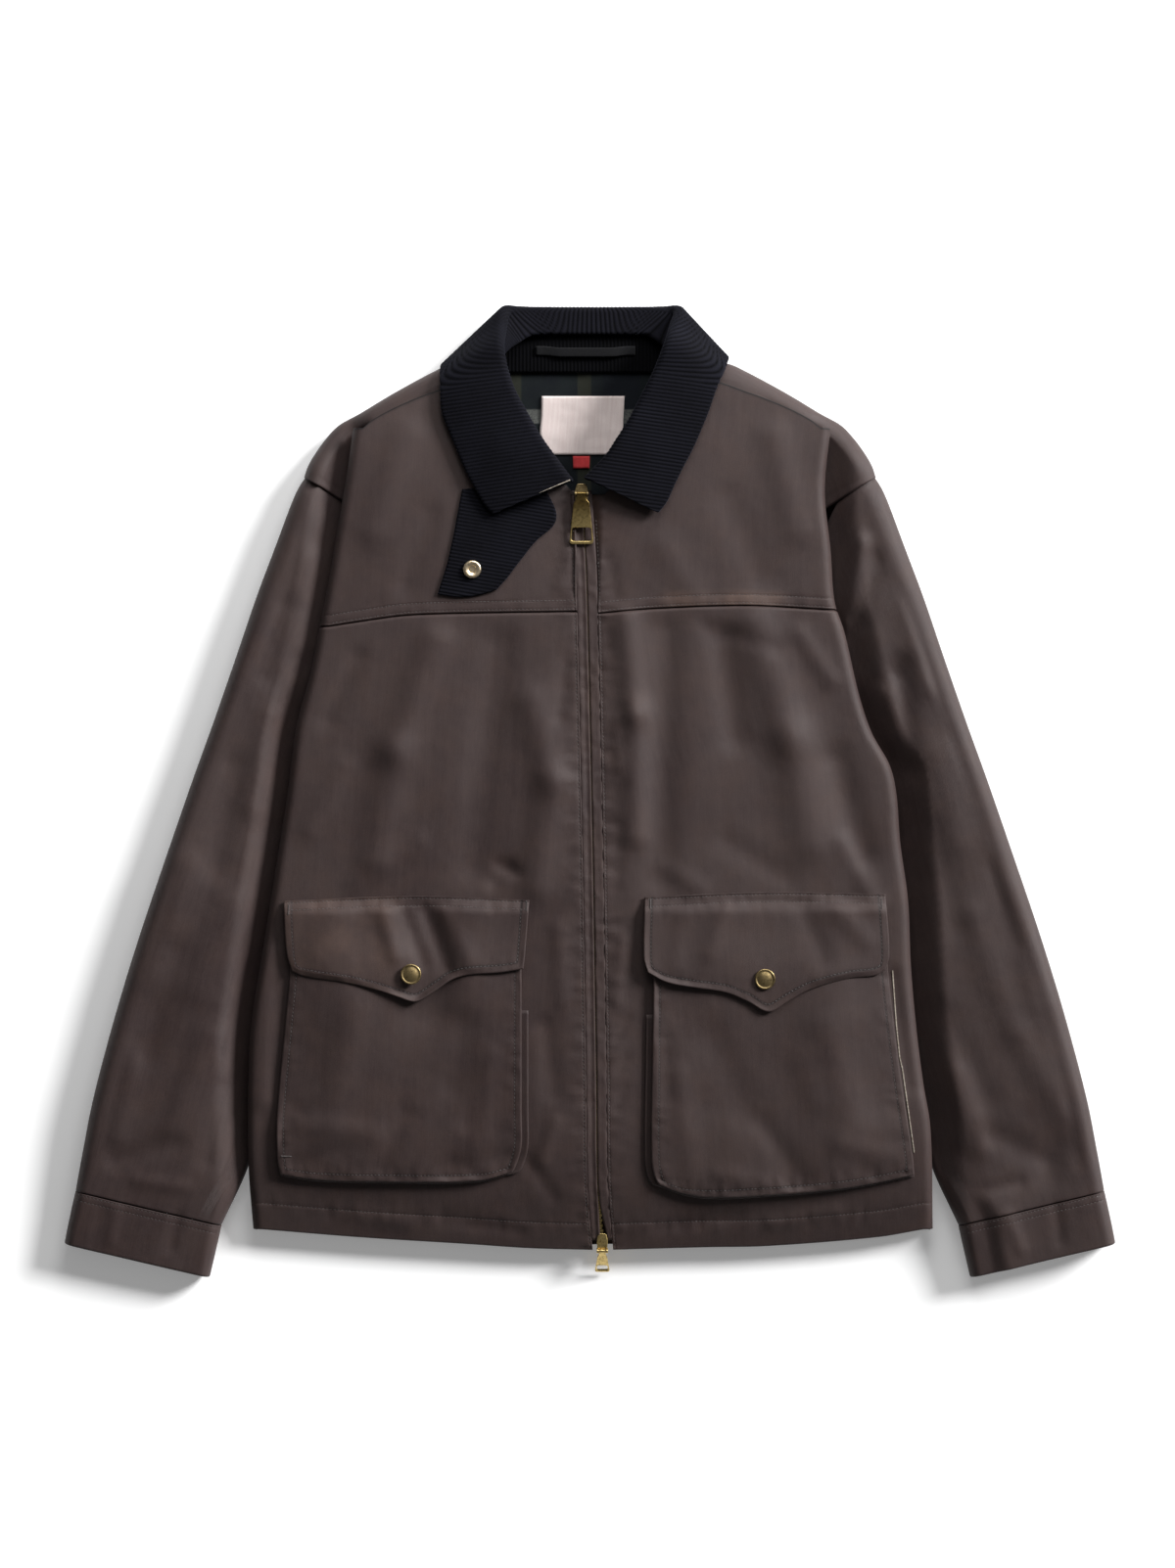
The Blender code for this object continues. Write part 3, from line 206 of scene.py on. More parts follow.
CREASES = (
    (-66, -60, -78, -72, 7, -1.6), (-74, -58, -60, -66, 5, -1.2), (-20, 110, -24, 60, 6, -0.9),
    (-26, -110, -22, -170, 7, 1), (-36, -190, -30, -245, 8, -1.2), (-28, -268, -40, -300, 6, 1.1),
    (-50, -300, -30, -330, 6, -1.1), (20, 60, 24, 20, 5, 0.8), (24, -30, 20, -80, 6, -0.8),
    (26, -120, 22, -170, 5, 0.9), (30, -185, 22, -200, 4, -0.7), (30, -215, 22, -228, 4, -0.7),
    (28, -240, 22, -256, 4, -0.6), (26, 40, 18, 30, 4, -0.6), (28, 5, 18, -4, 4, -0.6),
    (28, 70, 18, 62, 4, -0.5), (95, 135, 150, 118, 8, -0.9), (170, 130, 196, 92, 8, 1.2),
    (-190, 110, -214, 60, 9, -1.2), (-200, 20, -228, -30, 9, 1), (-140, -40, -190, -74, 10, 1),
    (110, -40, 160, -70, 10, -1), (60, -60, 90, -78, 8, 0.9), (205, -40, 232, -90, 8, 1.3),
    (246, -150, 262, -240, 7, -1.4), (-262, -130, -268, -250, 7, 1.3),
    (-60, 240, -90, 300, 12, -1.2), (150, 290, 168, 215, 14, 1.8), (112, 240, 140, 175, 14, -1.2),
    (60, 200, 84, 160, 12, 1), (-150, 292, -176, 215, 14, 1.6), (-130, 225, -150, 170, 10, -1),
    (-14, 200, -24, 168, 5, 0.7), (16, 190, 20, 160, 5, -0.7), (-120, -348, -60, -360, 7, -1.2),
    (120, -345, 60, -356, 7, -1.2), (-190, -345, -150, -352, 7, 1), (200, -342, 150, -352, 7, 1))
SLEEVE_CREASES = (
    (221, 203, 208, 139, 8, 2.2), (232, 190, 222, 140, 9, -1.4), (247, 97, 240, 90, 7, -1.6),
    (262, 150, 276, 90, 14, 1.6), (286, 30, 300, -40, 14, 1.4), (276, -30, 300, -110, 12, -1.2),
    (310, -100, 345, -190, 14, 1.6), (330, -60, 352, -120, 10, -1.1),
    (290, -180, 322, -250, 12, -1.3), (350, -200, 385, -260, 12, 1.2),
    (300, -230, 318, -290, 10, 1.2), (330, -280, 372, -300, 10, -1.2),
    (395, -250, 402, -300, 7, -1.1), (318, -325, 350, -318, 6, -1), (340, -345, 352, -372, 6, 0.9),
    (380, -338, 384, -366, 5, -0.8), (326, -345, 334, -400, 26, 2.4))
MIRROR_CREASES = (
    (-226, 190, -234, 120, 9, 1.3), (-248, 150, -262, 96, 12, -1.4),
    (-258, 60, -276, -10, 12, 1.4), (-290, 20, -306, -60, 12, -1.2),
    (-292, -90, -318, -160, 14, 1.3), (-340, -130, -362, -215, 12, -1.2),
    (-310, -200, -340, -275, 12, 1.4), (-372, -220, -386, -280, 9, 1.1),
    (-300, -240, -312, -300, 8, -1.1), (-338, -285, -386, -300, 9, -1.2),
    (-330, -322, -370, -316, 6, 0.9), (-336, -346, -342, -372, 6, -0.9),
    (-388, -340, -392, -366, 6, 0.8))


# ---- the jacket's surfaces ----
def fold_sum(rows, x, y):
    """Sum of the soft folds of a table at a point."""
    total = 0.0
    for x0, y0, x1, y1, width, depth in rows:
        dx, dy, px, py = x1 - x0, y1 - y0, x - x0, y - y0
        reach = 3 * width
        if abs(px - dx / 2) > abs(dx / 2) + reach or abs(py - dy / 2) > abs(dy / 2) + reach:
            continue
        t = min(max((px * dx + py * dy) / (dx * dx + dy * dy), 0), 1)
        gap = math.hypot(px - t * dx, py - t * dy) / width
        if gap < 3:
            total += depth * math.exp(-gap * gap)
    return total


def uneven(x, y, wide, tall, seed):
    """Smooth unevenness round 0, in patches of a width and a height."""
    return noise.noise((x / wide, y / tall, seed))


def rumple(x, y, seed):
    """The cloth's own unevenness, long and short."""
    return (2.0 * uneven(x, y, 78, 112, seed) + 0.30 * uneven(x, y, 24, 32, seed + 7)
            + 0.10 * uneven(x, y, 8, 9, seed + 15))


def pucker(along, off, reach, size, seed):
    """Small ripples that a sewn line draws into the cloth beside it."""
    fade = math.exp(-(off / reach) ** 2)
    if fade < 0.02:
        return 0.0
    wave = uneven(along, off, 4.6, 14, seed) + 0.6 * uneven(along, off, 9.5, 20, seed + 3)
    return size * fade * wave


def plain_top(x, y):
    """Height of the fronts without their small creases, which the thick collar bridges."""
    return LOFT(y) + BODY_CROWN * (1 - (x / BODY_HALF_WIDTH) ** 2) + fold_sum(FOLDS, x, y)


def body_top(x, y):
    """Height of the outer face of the fronts, away from the side folds."""
    own = CREASE_SHARE * fold_sum(CREASES, x, y) + RUMPLE_SHARE * rumple(x, y, 1.5)
    return plain_top(x, y) + smooth((y - HEM_CALM) / 20) * own


def outside_top(side, x, y):
    """Height of the outer face beside the fold: a valley at the fold, then the sleeve."""
    reach = (abs(x) - FOLD_EDGE[side](y) + 2) / VALLEY_WIDTH
    return mix(FOLD_HEIGHT(y, "under"), SLEEVE_LOFT(y) + fold_sum(FOLDS, x, y), smooth(reach))


def front_edge_x(side, y):
    return ZIP_LINE(y) + side * FRONT_EDGE


def fold_start_x(side, y):
    return side * (FOLD_EDGE[side](y) - FOLD_RADIUS)


def rolled(distance, roll=0.9):
    """How far a folded edge falls away at a distance from it."""
    if distance >= roll:
        return 0.0
    share = 1 - max(distance, 0) / roll
    return roll * 0.8 * (1 - math.sqrt(max(1 - share * share, 0)))


def groove(distance, place, width=0.8, depth=0.45):
    """The channel that a row of stitches pulls into the cloth."""
    gap = (distance - place) / width
    return depth * math.exp(-gap * gap) if abs(gap) < 3 else 0.0


def painted_stitch_shade(distance, place, share=0.45):
    """Painted shade along a row of stitches, as a share below zero."""
    return -share * math.exp(-((distance - place) / 0.8) ** 2)


def marks(*places):
    """Sampling distances from an edge, closer at its roll and at each row of stitches."""
    spots = {0, 0.15, 0.45, 0.9, 1.5, 2.4}
    for place in places:
        spots |= {place + off for off in (-1.6, -0.8, -0.4, 0, 0.4, 0.8, 1.6)}
    return sorted(spots)


# ---- making pieces ----
DOWN = Vector((0, 0, -1))
cloth = {}


def put(name, places, faces, look, slot, body="garment", sharp=None, uvs=None, wear_light_and_shade=None):
    """Make a mesh piece from points in millimetres and let it ride on a body."""
    mesh = bpy.data.meshes.new(name)
    mesh.from_pydata((np.asarray(places, float) * MM).tolist(), [], faces)
    mesh.shade_smooth()
    if sharp:
        mesh.set_sharp_from_angle(angle=math.radians(sharp))
    if uvs is not None:
        layer = mesh.uv_layers.new(name="cloth")
        layer.data.foreach_set("uv", (np.asarray(uvs, float) * MM).ravel())
    if wear_light_and_shade is not None:
        rub_painted_light_and_shade = mesh.attributes.new("wear_light_and_shade", "FLOAT", "POINT")
        rub_painted_light_and_shade.data.foreach_set("value", np.asarray(wear_light_and_shade, float))
    mesh.materials.append(look)
    piece = bpy.data.objects.new(name, mesh)
    bpy.context.scene.collection.objects.link(piece)
    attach(piece, body)
    return piece


def ring_pairs(items):
    """Each item of a closed ring with the next."""
    return zip(items, items[1:] + items[:1])


def cloth_lengths(grid):
    """Distances along the rows and down the first column, for a piece's weave."""
    points = np.array([[p[:3] for p in row] for row in grid], float)
    u, v = np.zeros((2, *points.shape[:2]))
    u[:, 1:] = np.cumsum(np.linalg.norm(np.diff(points, axis=1), axis=2), axis=1)
    v[1:] = np.cumsum(np.linalg.norm(np.diff(points, axis=0), axis=2), axis=0)
    return np.stack([u - u[:, u.shape[1] // 2][:, None], v], axis=2)


def same_way(quads):
    """Which faces of an open surface to turn so that neighbours agree."""
    sides = {}
    for f, face in enumerate(quads):
        for a, b in ring_pairs(face):
            sides.setdefault((min(a, b), max(a, b)), []).append((f, a < b))
    around = [[] for _ in quads]
    for pair in sides.values():
        if len(pair) == 2:
            (f, way_f), (g, way_g) = pair
            around[f].append((g, way_f == way_g))
            around[g].append((f, way_f == way_g))
    flip = {}
    for start in range(len(quads)):
        stack = [] if start in flip else [start]
        flip.setdefault(start, False)
        while stack:
            f = stack.pop()
            for g, clash in around[f]:
                if g not in flip:
                    flip[g] = flip[f] != clash
                    stack.append(g)
    return [flip[f] for f in range(len(quads))]


def shell(name, grids, thick, up, look, slot):
    """A closed wall of cloth: an outer face from grids of points, and an inner face.

    A fourth number in a point says how worn the cloth is there, and also carries painted light,
    and below zero painted shade; on corduroy it is the wale height that sets the painted shade
    between the wales. up is -1 where the first face of the grid has the hollow under it, and 1
    where it has the hollow over it.
    """
    index, places, wear_light_and_shade, quads, coords = {}, [], [], [], []
    for grid in grids:
        flat = cloth_lengths(grid)
        ids = []
        for row in grid:
            ids.append([])
            for p in row:
                key = tuple(round(c, 2) for c in p[:3])
                if key not in index:
                    index[key] = len(places)
                    places.append(p[:3])
                    wear_light_and_shade.append(p[3] if len(p) > 3 else 0.0)
                ids[-1].append(index[key])
        for r in range(len(grid) - 1):
            for c in range(len(grid[0]) - 1):
                around = ((r, c), (r, c + 1), (r + 1, c + 1), (r + 1, c))
                corners = [ids[i][j] for i, j in around]
                kept = [k for k in range(4) if corners[k] != corners[k - 1]]
                if len({corners[k] for k in kept}) == len(kept) > 2:
                    quads.append([corners[k] for k in kept])
                    coords.append([flat[around[k]] for k in kept])
    turns = same_way(quads)
    quads = [face[::-1] if turn else face for face, turn in zip(quads, turns)]
    coords = [spots[::-1] if turn else spots for spots, turn in zip(coords, turns)]
    points = np.asarray(places, float)
    normals = np.zeros_like(points)
    for face in quads:
        p = points[face]
        normals[face] += np.cross(p[2] - p[0], p[-1] - p[1])
    normals /= np.maximum(np.linalg.norm(normals, axis=1, keepdims=True), 1e-9)
    first = points[quads[0]]
    if np.cross(first[2] - first[0], first[-1] - first[1])[2] * up > 0:
        normals = -normals
        quads = [face[::-1] for face in quads]
        coords = [spots[::-1] for spots in coords]
    count = len(points)
    faces, uvs = [], []
    for face, spots in zip(quads, coords):
        faces += [face, [v + count for v in face[::-1]]]
        uvs += spots + spots[::-1]
    edges = {pair for face in quads for pair in ring_pairs(face)}
    for a, b in sorted(edges):
        if (b, a) not in edges:
            faces.append([b, a, a + count, b + count])
            uvs += [(0, 0), (1, 0), (1, 1), (0, 1)]
    points = np.concatenate([points, points - normals * thick])
    return put(name, points, faces, look, slot, uvs=uvs, wear_light_and_shade=wear_light_and_shade + wear_light_and_shade)


def dress(node, name, grids, rests_on=(), thick=CLOTH, up=-1,
          look=None, slot="waxed_cotton"):
    """Make a cloth piece, keep it under the name of the solid that it stands for, and hide that
    solid.
    """
    cloth[node] = piece = shell(name, grids, thick, up, look or wax, slot)
    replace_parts(piece, node)
    list(rests_on)


# ---- looks ----
WAX_DARK, WAX_LIGHT = (0.0262, 0.0150, 0.0146), (0.0365, 0.0230, 0.0214)
WAX_WARM, WAX_PALE = (0.047, 0.0262, 0.0207), (0.056, 0.038, 0.0355)
# The second colour is the pale of rubbed wax, also used as painted light on one flap; the fourth
# is near black, used as painted shade.
WAX_RUB_AND_PAINTED_LIGHT, PAINTED_SEAM_SHADE = (0.093, 0.057, 0.044), (0.004, 0.0026, 0.0026)
# The first colour, near black, is painted shade down between the wales.
CORD_PIT_SHADE, CORD_TIP = (0.0004, 0.0004, 0.0006), (0.0125, 0.0125, 0.0175)
CORD_DARK, CORD_BLUE = (0.0040, 0.0039, 0.0062), (0.0078, 0.0079, 0.0117)
CHECK_BLUE, CHECK_GREEN = (0.0050, 0.0066, 0.0088), (0.0066, 0.0092, 0.0100)
CHECK_NAVY, CHECK_OLIVE = (0.0050, 0.0058, 0.0100), (0.022, 0.023, 0.0155)
CHECK_PALE, CHECK_FLECK = (0.105, 0.108, 0.100), (0.013, 0.0145, 0.016)
FLOOR_GLOW = 0.2


class Look:
    """A node material that is built one node at a time."""

    def __init__(self, name, **sockets):
        self.material = bpy.data.materials.new(name)
        self.material.use_nodes = True
        self.nodes = self.material.node_tree.nodes
        self.links = self.material.node_tree.links
        self.shader = self.nodes["Principled BSDF"]
        for socket, value in sockets.items():
            self.shader.inputs[socket.replace("_", " ")].default_value = value

    def node(self, kind, *values, inputs=None, **settings):
        """Add a node. Its sockets get values in their order, or inputs by name or number."""
        made = self.nodes.new("ShaderNode" + kind)
        for name, value in settings.items():
            setattr(made, name, value)
        for socket, value in (*enumerate(values), *(inputs or {}).items()):
            if isinstance(value, bpy.types.NodeSocket):
                self.links.new(value, made.inputs[socket])
            else:
                made.inputs[socket].default_value = value
        return made

    def stretched(self, place, scale):
        return self.node("Mapping", place, inputs={"Scale": scale}).outputs[0]

    def cloth_place(self, across, along):
        """The piece's own cloth coordinates: metres times the two numbers."""
        return self.stretched(self.node("UVMap", uv_map="cloth").outputs[0], (across, along, 1))

    def space(self, scale=1):
        place = self.node("TexCoord").outputs["Object"]
        return self.stretched(place, (scale, scale, scale))

    def noise(self, place, scale, detail, rough):
        return self.node("TexNoise", place, inputs={
            "Scale": scale, "Detail": detail, "Roughness": rough}).outputs[0]

    def cloud(self, scale, detail=3.0, rough=0.6):
        return self.noise(self.space(), scale, detail, rough)

    def slub(self, across, along, detail=2.0, rough=0.5):
        return self.noise(self.cloth_place(across, along), 1.0, detail, rough)

    def ramp(self, value, low, high, out_low, out_high):
        return self.node("MapRange", value, low, high, out_low, out_high).outputs[0]

    def math(self, kind, a, b=0.0):
        return self.node("Math", a, b, operation=kind).outputs[0]

    def blend(self, share, a, b, kind="MIX"):
        a, b = ((*colour, 1) if isinstance(colour, tuple) else colour for colour in (a, b))
        return self.node("Mix", share, inputs={6: a, 7: b}, data_type="RGBA",
                         blend_type=kind).outputs[2]

    def patchy(self, value, low, high, most, a, b):
        """Colour a that turns to b, up to a share, where a value is high."""
        return self.blend(self.ramp(value, low, high, 0, most), a, b)

    def wear_light_shade_share(self):
        return self.node("Attribute", attribute_name="wear_light_and_shade").outputs["Fac"]

    def weave(self, threads):
        """Height of a plain weave with so many threads to the metre."""
        place = self.node("SeparateXYZ", self.cloth_place(1, 1))
        ways = [self.math("SINE", self.math("MULTIPLY", place.outputs[k], threads * 6.2832))
                for k in (0, 1)]
        return self.math("MULTIPLY", *ways)

    def set(self, socket, value):
        self.links.new(value, self.shader.inputs[socket])

    def bump(self, *layers):
        """Bump from (height, distance in metres) layers, the first lowest."""
        below = {}
        for height, distance in layers:
            made = self.node("Bump", 1.0, inputs={
                "Height": height, "Distance": distance, **below})
            below = {"Normal": made.outputs[0]}
        self.set("Normal", made.outputs[0])


def wax_look():
    """Brown cotton with cloudy wax and slubs, paler where it is rubbed, with painted light that
    makes part of a flap paler, and painted shade near black along the shoulder seam, rows of
    stitches and gusset rims.
    """
    look = Look("waxed_cotton_look", Sheen_Weight=0.03, Sheen_Roughness=0.5,
                Specular_IOR_Level=0.28)
    clouds, blotch, grain = look.cloud(9, 4), look.cloud(42), look.cloud(1500, 2, 0.7)
    slub = look.slub(900, 70)
    colour = look.patchy(clouds, 0.35, 0.65, 1, WAX_DARK, WAX_LIGHT)
    colour = look.patchy(blotch, 0.42, 0.68, 0.35, colour, WAX_WARM)
    colour = look.patchy(slub, 0.3, 0.75, 0.22, colour, WAX_PALE)
    colour = look.patchy(look.slub(190, 9), 0.35, 0.7, 0.2, colour, WAX_PALE)
    # paler where rubbed, and painted light where part of a flap is made paler
    rub_painted_light_and_shade = look.math("MULTIPLY", look.wear_light_shade_share(), look.ramp(blotch, 0.3, 0.7, 0.35, 1.1))
    colour = look.blend(rub_painted_light_and_shade, colour, WAX_RUB_AND_PAINTED_LIGHT)
    # painted shade: where the attribute is below zero the colour turns towards near black
    colour = look.blend(look.math("MULTIPLY", look.wear_light_shade_share(), -1.0), colour, PAINTED_SEAM_SHADE)
    grit = look.ramp(grain, 0.3, 0.7, 0.82, 1.18)
    grit = look.node("CombineXYZ", grit, grit, grit).outputs[0]
    look.set("Base Color", look.blend(1.0, colour, grit, "MULTIPLY"))
    look.set("Roughness", look.math("ADD", look.ramp(clouds, 0.3, 0.7, 0.50, 0.62),
                                    look.ramp(grain, 0.3, 0.7, -0.05, 0.05)))
    look.bump((look.cloud(95, 2, 0.5), 0.00018), (slub, 0.00005), (look.weave(1400), 0.00004),
              (grain, 0.00004))
    return look.material


def cord_look():
    """Needlecord: painted shade that darkens it to near black down between the wales, and bluer
    and paler on their tops.
    """
    look = Look("corduroy_look", Sheen_Weight=0.05, Sheen_Roughness=0.4, Specular_IOR_Level=0.05,
                Sheen_Tint=(0.55, 0.58, 0.75, 1))
    fuzz, patch = look.cloud(1300, 2, 0.7), look.cloud(28)
    top = look.patchy(patch, 0.35, 0.7, 1, CORD_DARK, CORD_BLUE)
    top = look.patchy(fuzz, 0.45, 0.75, 0.5, top, CORD_TIP)
    # painted shade: the colour sinks to near black down between the wales, by the wale height that
    # the pieces carry
    look.set("Base Color", look.blend(look.math("POWER", look.wear_light_shade_share(), 1.5), CORD_PIT_SHADE, top))
    look.set("Roughness", look.ramp(patch, 0.3, 0.7, 0.8, 0.95))
    look.bump((fuzz, 0.00012))
    return look.material


def lining_look():
    """A dark check: a blue and green ground, olive stripes down it and a pale one across."""
    look = Look("lining_look", Sheen_Weight=0.05, Specular_IOR_Level=0.1, Roughness=0.9)
    place = look.node("SeparateXYZ", look.space(1000))

    def stripe(axis, middle, half):
        gap = look.math("ABSOLUTE", look.math("SUBTRACT", place.outputs[axis], middle))
        return look.ramp(gap, half - 0.6, half + 0.6, 1.0, 0.0)

    colour = look.patchy(look.cloud(60), 0.35, 0.65, 1, CHECK_BLUE, CHECK_GREEN)
    for middle, half, share, tint in (
            (26.0, 15.0, 0.5, CHECK_NAVY), (-4.6, 5.6, 0.75, CHECK_OLIVE),
            (-62.0, 5.6, 0.75, CHECK_OLIVE)):
        colour = look.blend(look.math("MULTIPLY", stripe(0, middle, half), share), colour, tint)
    fleck = look.cloud(900, 2, 0.8)
    share = look.math("MULTIPLY", stripe(1, 309.0, 5.8), look.ramp(fleck, 0.35, 0.6, 0.25, 0.95))
    colour = look.blend(share, colour, CHECK_PALE)
    look.set("Base Color", look.patchy(fleck, 0.4, 0.7, 0.25, colour, CHECK_FLECK))
    look.bump((fleck, 0.0001), (look.weave(1100), 0.00006))
    return look.material


def woven_look(name, colour, shade, pale):
    """A woven label: fine streaks and pale flecks."""
    look = Look(name, Roughness=0.75, Sheen_Weight=0.2, Specular_IOR_Level=0.3)
    streak = look.slub(520, 25, 3, 0.6)
    made = look.patchy(streak, 0.35, 0.68, 1, colour, shade)
    look.set("Base Color", look.patchy(look.cloud(1600, 2), 0.45, 0.7, 0.5, made, pale))
    look.bump((streak, 0.0001), (look.weave(1300), 0.00006))
    return look.material


def metal_look(name, light, dark, rough, patina):
    """Brass with a darker tarnish in spots, and all over where a piece says that it is worn."""
    look = Look(name, Metallic=1.0)
    spots = look.cloud(420, 4, 0.65)
    share = look.math("MAXIMUM", look.ramp(spots, 0.5, 0.68, 0, patina),
                      look.ramp(look.cloud(110), 0.5, 0.75, 0, patina))
    look.set("Base Color", look.blend(look.math("MAXIMUM", share, look.wear_light_shade_share()), light, dark))
    look.set("Roughness", look.ramp(spots, 0.35, 0.7, rough, rough + 0.2))
    look.bump((spots, 0.00005))
    return look.material


def flecked_look(name, flecks, low, high, dark, pale, threads=None, **sockets):
    """A plain material of two colours in fine flecks."""
    look = Look(name, **sockets)
    look.set("Base Color", look.patchy(look.cloud(*flecks), low, high, 1, dark, pale))
    if threads:
        look.bump((look.weave(threads), 0.0001))
    return look.material


def floor_look():
    look = Look("white_floor", Roughness=0.9, Specular_IOR_Level=0.0,
                Emission_Color=(1, 1, 1, 1), Emission_Strength=FLOOR_GLOW)
    look.set("Base Color", look.blend(look.cloud(3, 3, 0.55), (0.945, 0.945, 0.945),
                                      (0.955, 0.955, 0.955)))
    return look.material


wax = wax_look()
cord = cord_look()
check = lining_look()
tape = flecked_look("tape_look", (1100, 2, 0.7), 0.4, 0.7, (0.0022, 0.0022, 0.0030),
                    (0.0052, 0.0052, 0.0064), 900, Roughness=0.85, Sheen_Weight=0.1,
                    Specular_IOR_Level=0.12)
label_look = woven_look("label_look", (0.69, 0.60, 0.575), (0.61, 0.50, 0.48),
                        (0.74, 0.675, 0.65))
tag_look = woven_look("tag_look", (0.48, 0.027, 0.031), (0.38, 0.018, 0.022),
                      (0.55, 0.052, 0.055))
brass = metal_look("brass_look", (0.66, 0.50, 0.21), (0.17, 0.115, 0.04), 0.26, 0.95)
pale_brass = metal_look("pale_brass_look", (0.88, 0.72, 0.50), (0.50, 0.35, 0.17), 0.24, 0.6)
antique = metal_look("antique_look", (0.36, 0.27, 0.13), (0.085, 0.06, 0.03), 0.34, 0.9)
thread = flecked_look("thread_look", (700, 2), 0.35, 0.65, (0.0125, 0.0073, 0.0067),
                      (0.033, 0.0195, 0.017), Roughness=0.6, Sheen_Weight=0.2)
cream = flecked_look("cream_edge_look", (600, 2), 0.35, 0.65, (0.20, 0.165, 0.13),
                     (0.42, 0.37, 0.31), Roughness=0.8, Sheen_Weight=0.1,
                     Specular_IOR_Level=0.2)


# ---- fronts, yokes and back ----
STEP = 3.3
FRONT_WIDE = 245
YOKE_WIDE = 190
YOKE_TALL = 160
YOKE_TUCK = 9
CURL_STEPS = 9
RAMP_END = -250
HEM_END = -357
BACK_FOOT = -340.0
BACK_ROWS = [HEM_END, -356.3, -355, -352.5, -349, -345]
BACK_ROWS += [BACK_FOOT + 8 * k for k in range(47)] + [UNDERARM_Y]
ARMHOLE_ROWS = [34, 38] + [42 + 7.75 * k for k in range(25)]
ARMHOLE_X = Table("y x", *zip(ARMHOLE.columns["y"], ARMHOLE.columns["x"]))
NECK_BACK = ((-60, 345), (-30, 343), (0, 342), (30, 343), (60, 345))
ARC_STEPS = 9
WRAP_PITCH = 9.5
SHOULDER_HIGH = 27.0

SLEEVE_INNER = Table("y x",
    (-357, 279), (-306, 280), (-265, 271), (-212, 257), (-160, 243), (-112, 230), (-68, 218),
    (-38, 209), (-16, 201), (0, 194), (13, 188), (31, 180))


def front_x(side, s, y):
    """Across a front, s from the zip (0) to the start of the fold (1)."""
    return mix(front_edge_x(side, y), fold_start_x(side, y), s)


def front_row(side, spots, relief, inset=lambda s, y: 0.0):
    """Points across a front through spots of (s, x, y), then round the fold and under it.

    relief and inset say how far a point lies over the smooth surface and is drawn in under it.
    """
    points = []
    for s, x, y in spots:
        edge = abs(x - front_edge_x(side, y))
        z = body_top(x, y) - inset(s, y) - rolled(edge) + relief(s, x, y, edge)
        points.append((x, y, z))
    x0, y, z0 = points[-1]
    drawn = inset(1, y)
    tall = (z0 + drawn - FOLD_HEIGHT(y, "low")) / 2
    centre = z0 + drawn - tall
    turn = math.radians(FOLD_HEIGHT(y, "turn"))
    for angle in evenly(math.pi / 2, turn, CURL_STEPS)[1:]:
        x = x0 + side * (FOLD_RADIUS - drawn) * math.cos(angle)
        points.append((x, y, centre + (tall - drawn) * math.sin(angle)))
    x, y, z = points[-1]
    for share in (0.5, 1):
        reach = FOLD_HEIGHT(y, "tail") * share
        points.append((x + side * math.sin(turn) * reach, y, z - math.cos(turn) * reach))
    return points


def front_panel(side):
    low, high = HEM[side], YOKE_SEAM[side]
    across = spread(FRONT_WIDE, STEP, marks(EDGE_STITCH))
    along = spread(high(0.5) - low(0.5), STEP, marks(2.2, HEM_STITCH),
                   (4, 2.6, 2.1, 1.6, 1.2, 0.8, 0.4))
    seed = 17 + 6 * side

    def inset(s, y):
        return YOKE_STEP * smooth((y - high(s) + 2.6) / 3.2)

    def relief(s, x, y, edge):
        hem = y - low(s)
        ripple = (pucker(y, edge - 2, 12, 1.0, seed)
                  + pucker(x, hem - HEM_STITCH, 9, 0.8, seed + 1))
        dips = groove(edge, EDGE_STITCH, 0.8, 0.25) + groove(hem, HEM_STITCH, 0.9, 0.3)
        return ripple - dips - rolled(hem, 1.6)

    lines = [[mix(low(s), high(s), v) for s in across] for v in along]
    lines.append([high(s) + YOKE_TUCK for s in across])
    return [front_row(side, [(s, front_x(side, s, y), y) for s, y in zip(across, line)], relief,
                      inset) for line in lines]


def yoke_spot(side, s, v):
    """A plan place of the yoke between its seam and its neck and shoulder edge."""
    low_y, top_y = YOKE_SEAM[side](s), YOKE_TOP(s, "y")
    y = mix(low_y, top_y, v)
    if s in (0, 1):
        return front_x(side, s, y), y
    shift = FOLD_EDGE[side](top_y) - FOLD_EDGE[-1].columns["edge"][-1] - FOLD_RADIUS
    top_x = side * (YOKE_TOP(s, "x") + shift * smooth((s - 0.5) / 0.5))
    near, far = (line(side, y) - mix(line(side, low_y), line(side, top_y), v)
                 for line in (front_edge_x, fold_start_x))
    return mix(front_x(side, s, low_y), top_x, v) + mix(near, far, s), y


def yoke_rub_and_seam_shade(side, x, y, top_gap):
    """A rubbed stretch over the seam of the wearer's left yoke, and below zero painted shade: a
    dark line along the shoulder seam."""
    if top_gap < 3:
        return -smooth((1.9 - top_gap) / 1.3)
    seam = YOKE_SEAM[side](0.5)
    along = smooth((x - 50) / 24) * smooth((166 - x) / 20)
    return 0.75 * along * smooth((y - seam + 4) / 4) * smooth((seam + 14 - y) / 7)


